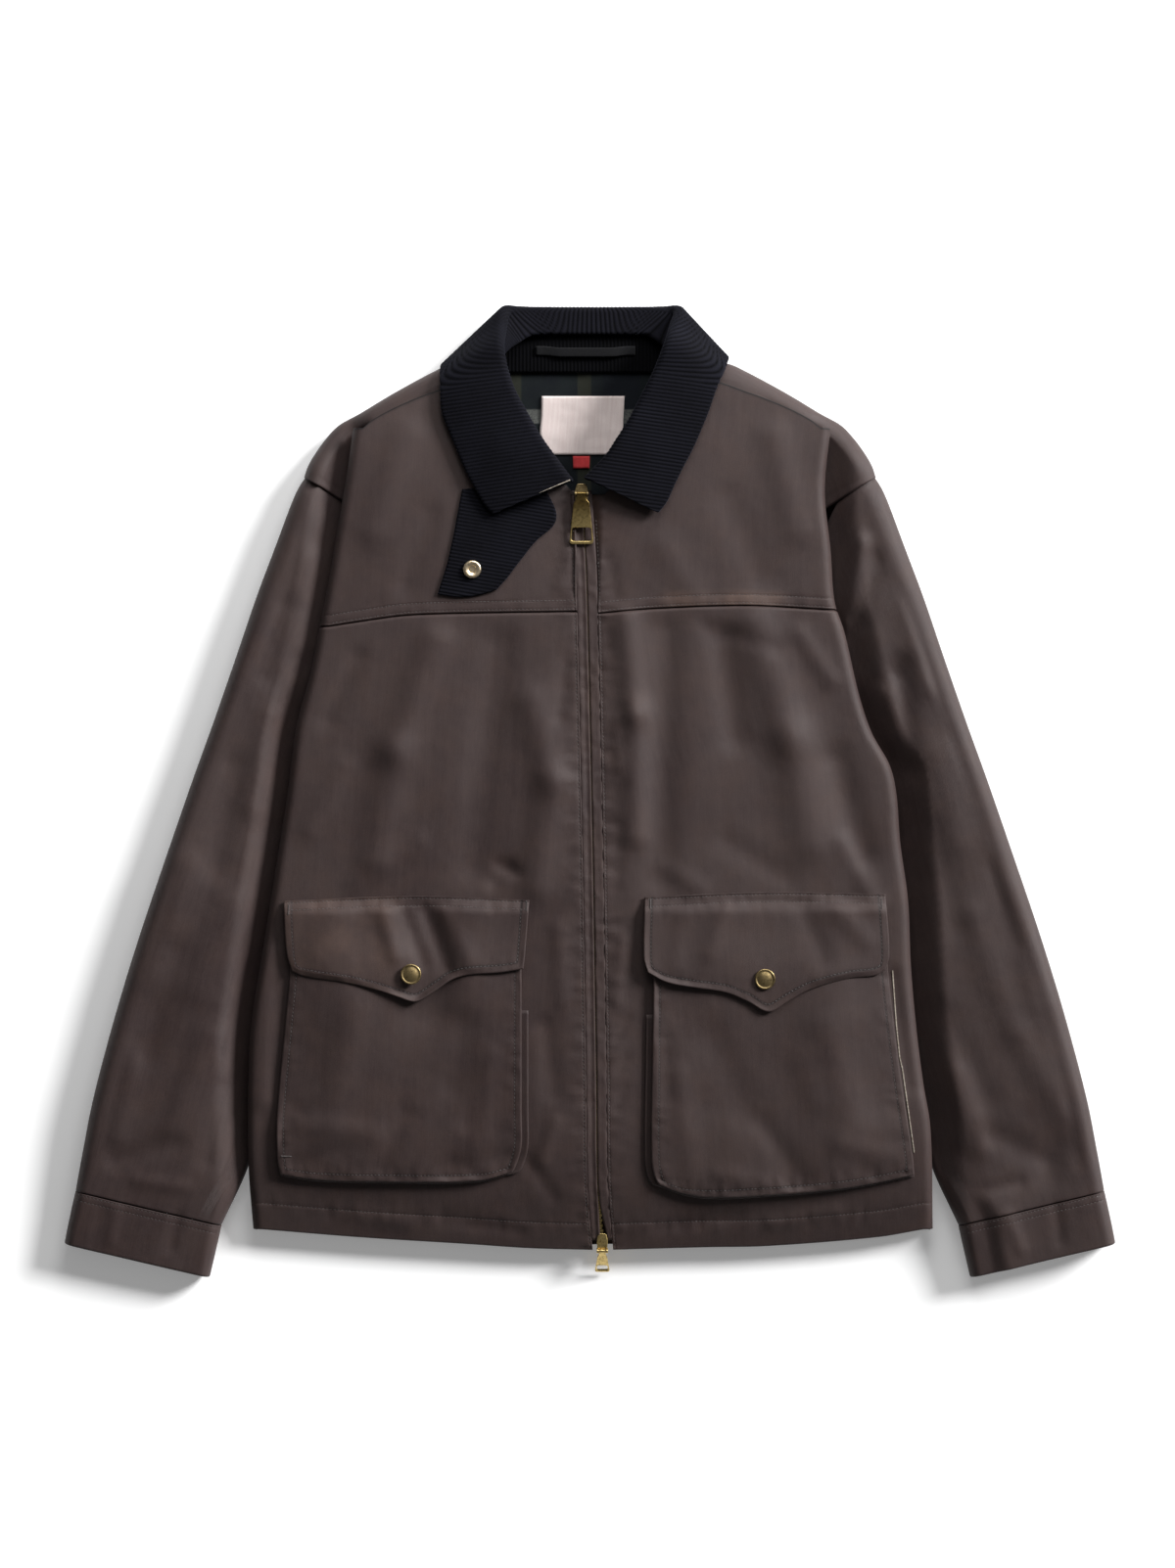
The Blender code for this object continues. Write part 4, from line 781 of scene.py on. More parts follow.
def front_yoke(side):
    across = spread(YOKE_WIDE, STEP, marks(EDGE_STITCH))
    seed = 37 + 6 * side

    def relief(s, x, y, edge):
        seam = y - YOKE_SEAM[side](s)
        dips = groove(edge, EDGE_STITCH, 0.8, 0.25)
        dips += sum(groove(seam, place, 0.8, 0.22) for place in YOKE_STITCHES)
        ripple = pucker(x, seam - 5, 8, 0.45, seed) + pucker(y, edge - 2, 9, 0.6, seed + 1)
        return ripple - dips - rolled(seam, 1.1)

    grid = []
    for v in spread(YOKE_TALL, STEP, marks(*YOKE_STITCHES), (3, 1.5, 0.5)):
        row = front_row(side, [(s, *yoke_spot(side, s, v)) for s in across], relief)
        grid.append([(x, y, z, yoke_rub_and_seam_shade(side, x, y, (1 - v) * YOKE_TALL)) for x, y, z in row])
    return grid


def ramp_foot(y):
    """Where the back starts to rise over the sleeve that lies under it."""
    inner = SLEEVE_INNER(max(y, RAMP_END)) - SIDE_RAMP - 2
    return mix(240, inner, smooth((y - HEM_END) / (RAMP_END - HEM_END)))


def back_side_x(side, y):
    return FOLD_EDGE[side](y) - SIDE_INSET


def back_place(x, y, z):
    """A point of the back, whose lowest rows bend to follow its hem."""
    if y < BACK_FOOT:
        side = -1 if x < 0 else 1
        hem = HEM[side](abs(x) / back_side_x(side, HEM_END)) + 3
        y = mix(hem, BACK_FOOT, (y - HEM_END) / (BACK_FOOT - HEM_END))
    return x, y, z


def back_side_patch(side):
    grid = []
    for y in BACK_ROWS:
        foot, edge = ramp_foot(y), back_side_x(side, y)
        lift = max(FOLD_HEIGHT(y, "low") - LAP, 0)
        ramp = min(SIDE_RAMP, edge - foot - 3)
        row = [back_place(side * (foot + ramp * share), y, lift * smooth(share))
               for share in steps(8)]
        grid.append(row + [back_place(side * edge, y, lift)])
    return grid


def wrap_path(side, i):
    """From the flat of the back, round the shoulder and forward to where the roll ends."""
    row = WRAP.at(i)
    edge = Vector((side * row["sx"], row["sy"]))
    end = Vector((side * row["ex"], row["ey"]))
    inward = (end - edge).normalized()
    beyond = max((end - edge).length - SHOULDER_REACH, 2)
    share_yoke = smooth((row["ey"] - FOLD_EDGE[side].keys[-1] + 8) / 12)
    end_z = mix(FOLD_HEIGHT(end.y, "under"), body_top(end.x, end.y) - LAP - SEAM, share_yoke)
    crest = edge + inward * SHOULDER_REACH
    tall = mix(outside_top(side, crest.x, crest.y), SHOULDER_HIGH, share_yoke)
    points = []
    for angle in evenly(-math.pi / 2, math.pi / 2, ARC_STEPS):
        place = edge + inward * SHOULDER_REACH * (1 - math.cos(angle))
        points.append((place.x, place.y, tall / 2 * (1 + math.sin(angle))))
    armhole = (WRAP.last - i) * WRAP_PITCH
    drop = rolled(armhole, 1.6) + groove(armhole, 5.5, 1.0, 0.4)
    for share in steps(14)[1:]:
        x, y = crest.lerp(end, share)
        free = mix(outside_top(side, x, y), mix(tall, end_z, share), share_yoke)
        free += 0.5 * rumple(x, y, 3.5) * smooth(beyond * (1 - share) / 6) * (1 - share)
        points.append((x, y, (free if share < 1 else end_z) - drop))
    return points


def back_panel():
    places = [share * WRAP.last for share in spread(WRAP.last, 0.16, (), (0.03, 0.07, 0.12, 0.18))]
    right, left = ([wrap_path(side, i) for i in places] for side in SIDES)
    tops = [path[0] for path in reversed(right)] + [(x, y, 0.0) for x, y in NECK_BACK]
    tops += [path[0] for path in left]
    shares = [top[0] / tops[-1][0] for top in tops]
    middle = []
    for y in BACK_ROWS + ARMHOLE_ROWS:
        half = mix(ramp_foot(min(y, UNDERARM_Y)), ARMHOLE_X(y), smooth((y - UNDERARM_Y) / 10))
        middle.append([back_place(share * half, y, 0.0) for share in shares])
    return [middle + [tops], back_side_patch(-1), right, back_side_patch(1), left]


# ---- sleeves ----
CUFF_STITCHES = (1.8, 7.6)
CUFF_TUCK = 2.6
CUFF_LONG = 44.0
RING_PITCH = 42
SLEEVE_CREASE_SHARE = 1.3
SLEEVE_RUMPLE_SHARE = 0.8


def ring_place(row, w):
    """Plan place on a sleeve ring, w from its inner end (0) to its outer end (1)."""
    place = []
    for axis in "xy":
        ends = ARMHOLE.columns[axis]
        bow = ARMHOLE(w, axis) - mix(ends[0], ends[-1], w)
        place.append(mix(row["i" + axis], row["o" + axis], w) + bow * row["bow"])
    return place


def fold_crossing(side, row, inner_w, outer_w):
    """Where the front's fold crosses over a ring, or just past its inner end."""
    for w in evenly(inner_w, outer_w, 60)[1:-1]:
        x, y = ring_place(row, w)
        if x > FOLD_EDGE[side](y) - 2:
            return max(w, mix(inner_w, outer_w, 0.1))
    return mix(inner_w, outer_w, 0.7)


def ring_section(side, row, swell=1):
    """Closed section of a sleeve: a flat underside, rounded ends and a soft top."""
    drawn = LAP * row["drawn_in"]
    sole = min(drawn, LAP + SEAM)
    length = math.hypot(row["ox"] - row["ix"], row["oy"] - row["iy"])

    def point(w, z):
        x, y = ring_place(row, w)
        return [side * x, y, z]

    def top(w):
        x, y = ring_place(row, w)
        return outside_top(side, side * x, y) - drawn

    def end_arc(low, high, count, w_centre, reach, tall):
        middle, half = (tall + sole) / 2, (tall - sole) / 2
        arc = []
        for turn in evenly(math.radians(low), math.radians(high), count):
            arc.append(point(w_centre + reach * math.cos(turn), middle + half * math.sin(turn)))
        return arc

    tall_in = top(EDGE_ROUND * 12 / length)
    tall_out = top(1 - EDGE_ROUND * SLEEVE_TOP / length)
    in_reach, out_reach = (EDGE_ROUND * tall / length for tall in (tall_in, tall_out))
    inner_w, outer_w = in_reach, 1 - out_reach
    ring = [point(w, sole) for w in evenly(inner_w, outer_w, 20)]
    ring += end_arc(-75, 75, 10, outer_w, out_reach, tall_out)
    foot = fold_crossing(side, row, inner_w, outer_w)
    brow = min(foot + VALLEY_WIDTH / length, mix(foot, outer_w, 0.6))
    creases = SLEEVE_CREASES if side > 0 else MIRROR_CREASES
    for w in (evenly(outer_w, brow, 26)[:-1] + evenly(brow, foot, 11)[:-1]
              + evenly(foot, inner_w, 5)):
        x, y, z = point(w, top(w))
        free = min(w - inner_w, outer_w - w) * length
        relief = (SLEEVE_CREASE_SHARE * fold_sum(creases, x, y)
                  + SLEEVE_RUMPLE_SHARE * rumple(x, y, 4.5))
        z += relief * smooth(free / 12) * swell * smooth((w - foot) * length / 14)
        ring.append([x, y, z])
    ring += end_arc(105, 255, 8, inner_w, in_reach, tall_in)
    return ring + [ring[0]]


def shrunk(ring, drop):
    """A ring whose upper side is drawn in, as a rolled edge or a row of stitches does."""
    if drop <= 0:
        return ring
    centre_x, centre_y = (sum(p[axis] for p in ring) / len(ring) for axis in (0, 1))
    tall = max(p[2] for p in ring)
    made = []
    for x, y, z in ring:
        pull = drop * 0.6 / max(math.hypot(x - centre_x, y - centre_y), 1)
        made.append([mix(x, centre_x, pull), mix(y, centre_y, pull), z - drop * z / tall])
    return made


def sleeve(side):
    last = SLEEVE_RINGS.last
    places = [0, 0.35, 0.7, 1, 1.25, 1.5, 1.75] + [2 + k / 14.5 for k in range(159)]
    grid = []
    for i in places + [last - 0.06, last - 0.02, last]:
        ring = ring_section(side, SLEEVE_RINGS.at(i), smooth(i - 1.0))
        grid.append(shrunk(ring, rolled((last - i) * RING_PITCH, 0.6) * 0.5))
    return grid


def cuff(side):
    grid = []
    for share in spread(CUFF_LONG, 2.6, marks(*CUFF_STITCHES), marks(2.0)):
        near, far = share * CUFF_LONG, (1 - share) * CUFF_LONG
        drop = rolled(near, 0.5) + rolled(far, 2.0)
        drop += sum(groove(near, place, 0.7, 0.14) for place in CUFF_STITCHES)
        ring = ring_section(side, CUFF_RINGS.at(share * CUFF_RINGS.last))
        grid.append(shrunk(ring, drop))
    first, second = (Vector((CUFF_RINGS.columns["ox"][k], CUFF_RINGS.columns["oy"][k]))
                     for k in (0, 1))
    lift = (first - second).normalized() * CUFF_TUCK
    lip = shrunk(grid[0], 1.6)
    return [[[x + side * lift.x, y + lift.y, z] for x, y, z in lip], lip] + grid


# ---- pockets ----
POCKET_TOP = -106.0
POCKET_WIDE = 196
POCKET_TALL = 210
FLAP_TALL = 76
POCKET_RUMPLE_SHARE = 0.6
POCKET_STITCH = 5.6
FLAP_STITCH = 6.0
FLAP_TOP_STITCHES = (1.8, 7.8)
GUSSET_THICK = 1.8
GUSSET_OUT = 5.6
GUSSET_IN = 8.0
EDGE_RISE = 5.2
MIDDLE_RISE = 5.8
OUTER_RISE = 3.2
MOUTH_RISE = 3.2
FLAP_STEP = CLOTH + 0.6
# painted light: how much paler the outer half of the wearer's right flap is made
FLAP_PAINTED_LIGHT = 0.3
SNAPS = {-1: (145.2, -147.2), 1: (142.0, -151.2)}

POCKET_SIDES = {
    -1: Table("y inner outer",
        (-317.6, 69, 249), (-312, 65, 251.6), (-303, 60, 254), (-287, 55.6, 255),
        (-261, 55.6, 254.8), (-193, 55.6, 248.4), (-151, 55.6, 244.4), (-106, 55.6, 242)),
    1: Table("y inner outer",
        (-330, 72, 265), (-325, 62, 265), (-314, 53.2, 264.4), (-297, 50, 263), (-216, 50.6, 251),
        (-148, 51.6, 243), (-106, 51.6, 239)),
}
POCKET_BOTTOM = {
    -1: Table("u y", (0, -309), (0.12, -316), (0.5, -317), (0.85, -315.5), (1, -311)),
    1: Table("u y",
        (0, -319), (0.09, -329), (0.4, -328), (0.65, -324), (0.82, -319.2), (1, -311.5)),
}
FLAP_ENDS = {
    -1: Table("v inner outer", (0, 49.2, 249.2), (0.75, 52.5, 246.5), (1, 54, 242)),
    1: Table("v inner outer", (0, 44.4, 240.4), (0.8, 43.6, 243.4), (1, 47, 240)),
}
FLAP_TOP = {
    -1: Table("u y", (0, -87.2), (0.46, -84), (1, -88)),
    1: Table("u y", (0, -84.8), (0.5, -80.8), (1, -82.4)),
}
FLAP_BOTTOM = {
    -1: Table("u y",
        (0, -143), (0.1, -146), (0.24, -148), (0.31, -152), (0.39, -162), (0.465, -169.6),
        (0.54, -166), (0.62, -161), (0.75, -155), (0.95, -149), (1, -145)),
    1: Table("u y",
        (0, -146), (0.08, -154), (0.2, -158.4), (0.33, -162.4), (0.42, -169.6), (0.51, -178),
        (0.585, -170), (0.68, -160), (0.84, -151.2), (0.96, -148.5), (1, -144)),
}
POCKET_CREASES = (
    (-132, -60, -128, -176, 22, -3.6), (-140, -190, -120, -300, 32, -1.6),
    (-214, -60, -206, -176, 26, 2), (-96, -60, -100, -170, 16, 1.2),
    (-168, -98, -158, -132, 7, 1.8), (-152, -92, -136, -138, 6, -1.4),
    (-134, -96, -116, -142, 7, -2), (-118, -96, -98, -136, 8, 1.2),
    (-205, -100, -222, -130, 12, 1.2), (-100, -190, -112, -240, 12, -1.3),
    (-190, -175, -215, -290, 15, 1.4), (-80, -215, -92, -295, 10, 1.1),
    (-236, -262, -262, -286, 8, -1.4), (-178, -278, -236, -268, 10, 1.3),
    (-150, -262, -170, -304, 9, -1.4), (-110, -276, -140, -306, 9, 1.4),
    (-70, -296, -112, -304, 8, -1.1), (-205, -292, -240, -302, 7, -1),
    (196, -60, 204, -176, 30, 2.2), (70, -60, 66, -170, 26, -1.6),
    (146, -190, 160, -300, 32, -1.6), (110, -90, 98, -130, 8, 1.2), (172, -92, 190, -136, 9, -1.3),
    (200, -92, 224, -120, 9, 1.2), (75, -100, 70, -140, 8, 0.9), (100, -200, 128, -262, 14, -1.3),
    (190, -190, 214, -270, 15, 1.4), (72, -230, 84, -312, 10, 1.2),
    (140, -270, 172, -316, 9, -1.3), (204, -286, 248, -298, 9, 1.3),
    (104, -310, 150, -320, 8, 1.1), (172, -215, 184, -250, 12, 1), (60, -200, 64, -246, 7, -1))


def pocket_spot(side, u, v):
    """Plan place on a pocket's front, u from its zip side outwards, v from mouth to bottom."""
    y = mix(POCKET_TOP, POCKET_BOTTOM[side](u), v)
    return side * mix(POCKET_SIDES[side](y, "inner"), POCKET_SIDES[side](y, "outer"), u), y


def pocket_rise(u, y):
    """Height of a pocket front's outer face over the front panel."""
    u = min(max(u, 0), 1)
    middle = mix(EDGE_RISE, MIDDLE_RISE, math.sin(math.pi * u))
    across = mix(middle, OUTER_RISE, smooth((u - 0.72) / 0.28))
    return mix(MOUTH_RISE, across, smooth((POCKET_TOP - y) / 44))


def pocket_relief(side, x, y):
    """Creases and unevenness that a pocket and its flap share."""
    return (fold_sum(POCKET_CREASES, x, y)
            + POCKET_RUMPLE_SHARE * rumple(x, y, 51 + 12 * side))


def pocket(side):
    seed = 54 + side
    grid = []
    for v in spread(POCKET_TALL, 2.8, (0.5,), marks(POCKET_STITCH)):
        row = []
        for u in spread(POCKET_WIDE, 2.8, marks(POCKET_STITCH), marks(POCKET_STITCH)):
            x, y = pocket_spot(side, u, v)
            lift = pocket_rise(u, y)
            lift = mix(lift, max(lift, EDGE_RISE), smooth((v - 0.7) / 0.13))
            near, far, low = u * POCKET_WIDE, (1 - u) * POCKET_WIDE, (1 - v) * POCKET_TALL
            edge = min(near, far, low)
            bend = rolled(edge, 1.2) + groove(edge, POCKET_STITCH, 0.8, 0.12)
            ripple = pucker(x, low - 5, 9, 1.1, seed) + pucker(y, near - 5, 7, 0.7, seed + 1)
            ripple += pucker(y, far - 5, 7, 0.7, seed + 2)
            own = pocket_relief(side, x, y) * smooth(edge / 5)
            z = body_top(x, y) + lift + (own + ripple) * smooth(edge / 3) - bend
            # painted shade along the row of stitches
            row.append((x, y, z, painted_stitch_shade(edge, POCKET_STITCH)))
        grid.append(row)
    return grid


def gusset(side):
    """The folded strip that shows beside the pocket's zip side and under its lower edge."""
    path = [pocket_spot(side, 0, v) for v in evenly(0.35, 1, 44)[:-1]]
    path = [Vector(spot) for spot in path + [pocket_spot(side, u, 1) for u in steps(60)]]
    grid = []
    for i, spot in enumerate(path):
        ahead = (path[min(i + 2, len(path) - 1)] - path[max(i - 2, 0)]).normalized()
        out = Vector((ahead.y, -ahead.x))
        if out.dot(spot - Vector((side * 150, -220))) < 0:
            out = -out
        reach = mix(GUSSET_OUT, 1.6, smooth((abs(out.y) - 0.5) / 0.4))
        row = []
        for off, drop in ((reach, 1.0), (reach - 0.3, 0.4), (reach - 0.8, 0.1), (reach - 1.5, 0),
                          (reach - 2.4, 0.2), (-GUSSET_IN / 2, 0), (-GUSSET_IN, 0)):
            x, y = spot + out * off
            # painted shade: the strip's rim, whose side faces the light, is darkened towards near
            # black
            row.append((x, y, body_top(x, y) + CLEAR + GUSSET_THICK - drop, -0.6 * drop))
        grid.append(row)
    return grid


def flap_spot(side, u, v):
    ends = FLAP_ENDS[side]
    y = mix(FLAP_TOP[side](u), FLAP_BOTTOM[side](u), v)
    return side * mix(ends(v, "inner"), ends(v, "outer"), u), y


def flap_height(side, x, y):
    """Outer face of a flap: on the panel at its seam, then over the pocket's mouth."""
    inner, outer = (POCKET_SIDES[side](y, name) for name in ("inner", "outer"))
    rise = pocket_rise((abs(x) - inner) / (outer - inner), y)
    return body_top(x, y) + rise * smooth((POCKET_TOP + 20 - y) / 12) + FLAP_STEP


def flap_lean(side, u, ahead, run):
    """How much longer a flap's slanting lower rim is than its width there."""
    low = FLAP_BOTTOM[side]
    return math.hypot(1, (low(min(u + ahead, 1)) - low(u)) / run)


def flap(side):
    seed = 77 + side
    grid = []
    for v in spread(FLAP_TALL, 2.5, marks(*FLAP_TOP_STITCHES), marks(FLAP_STITCH)):
        row = []
        for u in spread(POCKET_WIDE, 2.6, marks(FLAP_STITCH), marks(FLAP_STITCH)):
            x, y = flap_spot(side, u, v)
            low, high = y - FLAP_BOTTOM[side](u), FLAP_TOP[side](u) - y
            edge = min(u * POCKET_WIDE, (1 - u) * POCKET_WIDE,
                       low / flap_lean(side, u, 0.03, 6))
            bend = rolled(edge, 1.1) + groove(edge, FLAP_STITCH, 0.8, 0.1)
            bend += sum(groove(high, place, 0.8, 0.22) for place in FLAP_TOP_STITCHES)
            ripple = pucker(x, high - 4, 9, 0.7, seed) + pucker(x, low - 5, 7, 0.5, seed + 1)
            own = pocket_relief(side, x, y) * smooth(edge / 5) * smooth(high / 14)
            z = flap_height(side, x, y) + own + ripple * smooth(edge / 3) - bend
            # painted light on the flap's outer half, and painted shade along its row of stitches
            wear_light_shade_share = FLAP_PAINTED_LIGHT * smooth((-136 - x) / 34) + painted_stitch_shade(edge, FLAP_STITCH, 0.7)
            row.append((x, y, z, wear_light_shade_share))
        grid.append(row)
    return grid


# ---- collar and neck ----
# rx ry ex ey ez turn: the roll's edge, the fall's edge and how far the roll leans back. Where the
# collar stands behind the neck, also the height of its roll, and the place of its band.
COLLAR = {
    -1: (
        (13.2, 254.4, 78.8, 226.4, 7.2, 0), (18.5, 261, 86, 234, 7.2, 0), (28, 274, 93, 246, 7, 0),
        (39.6, 290.4, 101, 261, 6.8, 0), (51.6, 311.2, 112, 287, 6.4, 0),
        (61.2, 329.6, 120.5, 309, 6.4, 0), (67, 348, 122, 326, 6, 8),
        (69.5, 363, 122.8, 338, 33, 32, 37, 75, 350, 28),
        (68.5, 380, 123, 346.5, 24, 62, 26, 67, 361, 22),
        (66, 396.2, 121.5, 351.5, 14, 92, 15, 56, 370, 17),
        (58, 399, 110, 357, 2.4, 150, 8, 47, 375, 14),
        (44, 399, 80, 355, 0, 180, 5.6, 36, 376, 13),
        (20, 399, 30, 353, 0, 180, 5.4, 18, 376, 12.6)),
    1: (
        (-5.5, 256.4, 55.6, 227.2, 6.4, 0), (0.5, 262, 62.5, 236, 6.4, 0),
        (12, 274, 69, 250, 6.4, 0), (20.5, 286.8, 76, 264.5, 6.4, 0),
        (30.8, 303.2, 85.5, 283, 6.4, 0), (42, 324.8, 96.4, 309, 6.4, 0),
        (51.5, 344, 103.2, 328.8, 6, 8), (60, 366, 109, 342, 33.5, 32, 37, 66, 350, 29),
        (65, 382, 113, 352, 23, 62, 26, 66, 358, 24),
        (69, 396.4, 113.5, 357.5, 14, 92, 15, 60, 366, 19),
        (60, 399, 102, 362, 2.4, 150, 8, 47, 375, 14),
        (44, 399, 78, 357, 0, 180, 5.6, 36, 376, 13),
        (20, 399, 30, 353, 0, 180, 5.4, 18, 376, 12.6)),
}
COLLAR_BACK = (0, 399, 0, 352, 0, 180, 5.4, 0, 376, 12.4)
ROLL = 5.4
BAND_UNDER = 13.0
FALL_STEPS = 34
ROLL_STEPS = 10
BAND_STEPS = 8
FALL_BULGE = 1.6
WALE = 3.0
WALE_HIGH = 0.6
WALE_TILT = -0.14
WALE_STEP = 0.78

STAND = Table("y z left right",
    (345, 9, -86, 86), (356, 9, -88, 88), (368, 8.6, -86, 86), (379, 7.4, -70, 70))
LINING = Table("y z left right",
    (236, 3.8, -78, 78), (262, 3.8, -82, 82), (290, 3.9, -84, 84), (310, 4.2, -84, 84),
    (330, 5, -82, 82), (350, 6.2, -78, 78))
LABEL = Table("y z left right",
    (277.6, 0, -30.8, 14.8), (292, 0, -40.4, 26), (308, 0, -40, 27.4), (325.6, 0, -39.6, 28.4))
SIZE_TAG = Table("y z left right", (266.4, 0, -13.6, -0.4), (276.4, 0, -14, -0.2))
THROAT_TAB = Table("lx ly rx ry sag",
    (-104, 247, -36, 247, 0), (-107, 231, -27.6, 229, 0), (-110, 214.4, -30, 217, 0),
    (-113, 200, -44, 204.5, 0), (-116, 187, -58, 187, 1), (-120, 174, -67, 175, 2),
    (-124, 161.5, -76, 165, 4))
TAB_WIDE = 58
TAB_TALL = 84
TAB_SNAP = (-95.6, 181.6)
LINING_THICK = 1.2
LABEL_THICK = 0.8
TAG_GAP = 0.4
TAPE = 1.2
LOOP_LEFT = -44.0
LOOP_RIGHT = 37.0
LOOP_Y = 362.5
LOOP_HALF = 3.6
LOOP_ARCH = 1.6
LOOP_SAG = 1.5


def collar_station(side, rx, ry, ex, ey, ez, turn, rz=None, bx=0, by=0, bz=0):
    """Section of the collar from the fall's edge over the roll to the band inside.

    Returns rows of x, y, z and the distance from the roll's edge, and the way to the fall.
    """
    roll_edge, fall_edge = Vector((side * rx, ry, 0)), Vector((side * ex, ey, 0))
    ahead = (fall_edge - roll_edge).normalized()
    outward = Vector((-ahead.y * side, ahead.x * side, 0))
    if outward.y < 0:
        outward = -outward
    turn = math.radians(turn)
    over = Vector((0, 0, 1)) * math.cos(turn) + outward * math.sin(turn)
    axis = roll_edge + ahead * ROLL
    if rz is None:
        axis.z = plain_top(axis.x, axis.y) + CLEAR + ROLL
        fall_edge.z = plain_top(fall_edge.x, fall_edge.y) + ez
        band = roll_edge + ahead * (ROLL + BAND_UNDER)
        band.z = plain_top(band.x, band.y) + CLEAR
    else:
        axis.z, fall_edge.z = rz, ez
        band = Vector((side * bx, by, bz))
    roll_top = axis + over * ROLL
    fall = (fall_edge - roll_top).length
    rim = [place / fall for place in (0, 0.4, 1.0, 1.8)]
    points = []
    for share in rim + evenly(rim[-1], 1, FALL_STEPS)[1:-1]:
        bulge = over * FALL_BULGE * max(over.z, 0) * math.sin(math.pi * share)
        drop = over * rolled(share * fall, 1.8)
        points.append((*fall_edge.lerp(roll_top, share) + bulge - drop, fall * (1 - share)))
    for angle in evenly(0, math.pi, ROLL_STEPS):
        last = axis + over * ROLL * math.cos(angle) - ahead * ROLL * math.sin(angle)
        points.append((*last, -ROLL * angle))
    for share in steps(BAND_STEPS)[1:]:
        place = -ROLL * math.pi - share * (band - last).length
        points.append((*last.lerp(band, share), place))
    return np.array(points), np.array(ahead.xy)


def bend_through(a, b, c, d, t):
    """Point on a smooth curve between b and c, with a and d beyond them."""
    return ((2 * b + (c - a) * t + (2 * a - 5 * b + 4 * c - d) * t * t
             + (3 * b - a - 3 * c + d) * t ** 3) / 2)


def wale_wave(phase):
    """Height of the wales below their tops, from the place across them in millimetres."""
    return WALE_HIGH * (abs(np.cos(np.pi * phase / WALE)) ** 0.7 - 1)


def unit(vectors):
    return vectors / np.maximum(np.linalg.norm(vectors, axis=-1, keepdims=True), 1e-9)


def collar():
    rows = [(-1, row) for row in COLLAR[-1]] + [(1, COLLAR_BACK)]
    rows += [(1, row) for row in reversed(COLLAR[1])]
    stations, signs = zip(*(collar_station(side, *row) for side, row in rows))
    edges = [np.array([side * row[0], row[1]]) for side, row in rows]
    made = []
    for k in range(len(rows) - 1):
        pick = (max(k - 1, 0), k, k + 1, min(k + 2, len(rows) - 1))
        run = max(np.linalg.norm(stations[k + 1][:, :3] - stations[k][:, :3], axis=1))
        for t in steps(max(2, round(run / WALE_STEP)))[:None if k == len(rows) - 2 else -1]:
            made.append((bend_through(*(stations[p] for p in pick), t),
                         bend_through(*(edges[p] for p in pick), t),
                         mix(signs[k], signs[k + 1], t), k + t))
    grid, firsts, ways, places = (np.array(column) for column in zip(*made))
    spots, middle = grid[:, :, :3], len(COLLAR[-1])
    turn = np.array([smooth((abs(place - middle) - 1) / 6.5) for place in places])
    up = np.where(places < middle, 1.0, -1.0)
    over = unit(np.stack([1 - turn + WALE_TILT * turn, up * turn], axis=1))
    gain = np.sum(np.diff(firsts, axis=0) * (over[1:] + over[:-1]) / 2, axis=1)
    base = np.concatenate([[0], np.cumsum(gain)])
    phase = base[:, None] + (grid[:, :, 3] + ROLL) * np.sum(over * ways, axis=1)[:, None]
    normals = unit(np.cross(np.gradient(spots, axis=0), np.gradient(spots, axis=1)))
    if normals[4, 20, 2] < 0:
        normals = -normals
    wave = wale_wave(phase)[:, :, None]
    # the fourth number is the wale height, which sets the painted shade between the wales
    return np.concatenate([spots + normals * wave, 1 + wave / WALE_HIGH], axis=2).tolist()


def throat_tab():
    grid = []
    for down in spread(TAB_TALL, 0.62, (), marks(2.0)):
        row = THROAT_TAB.at(down * THROAT_TAB.last)
        line = []
        for share in spread(TAB_WIDE, 2.0, marks(2.0), marks(2.0)):
            x = mix(row["lx"], row["rx"], share)
            y = mix(row["ly"], row["ry"], share) - row["sag"] * math.sin(math.pi * share)
            edge = min(share * TAB_WIDE, (1 - share) * TAB_WIDE, (1 - down) * TAB_TALL)
            wave = wale_wave(y + 0.17 * x)
            z = body_top(x, y) + CLEAR + CLOTH - rolled(edge, 1.6) + wave
            # the fourth number is the wale height, which sets the painted shade between the wales
            line.append((x, y, z, 1 + wave / WALE_HIGH))
        grid.append(line)
    return grid


def hanger_loop():
    """A tape held down at both ends on the stand, standing a little off between them."""
    grid = []
    for x in evenly(LOOP_LEFT, LOOP_RIGHT, 60):
        free = smooth((x - LOOP_LEFT - 5) / 16) * smooth((LOOP_RIGHT - 5 - x) / 16)
        y = LOOP_Y - LOOP_SAG * free
        z = STAND(y, "z") + SEAM + TAPE + LOOP_ARCH * free
        grid.append([(x, y + LOOP_HALF * off, z - 0.35 * abs(off) ** 6)
                     for off in (-1, -0.92, -0.8, -0.6, -0.3, 0, 0.3, 0.6, 0.8, 0.92, 1)])
    return grid


def band(ends, point, across, down):
    """Rows of points across, from a table of left and right ends."""
    return [[point(x, y) for x in evenly(ends(y, "left"), ends(y, "right"), across)]
            for y in evenly(ends.keys[0], ends.keys[-1], down)]


def stand_point(x, y):
    wave = 0.5 * (math.cos(2 * math.pi * x / WALE) - 1)
    # painted shade: the 0.35 keeps the stand near the near-black colour between the wales, for the
    # shade inside the collar
    return x, y, STAND(y, "z") + WALE_HIGH * wave, 0.35 * (1 + wave)


def lining_point(x, y):
    wave = 0.5 * uneven(x, y, 26, 20, 91) + 0.16 * uneven(x, y, 7, 6, 93)
    return x, y, LINING(y, "z") + wave * smooth((y - 240) / 14)


def label_point(x, y):
    gap = TAG_GAP + LABEL_THICK + 0.25 * uneven(x, y, 12, 9, 97)
    return x, y, lining_point(x, y)[2] + gap


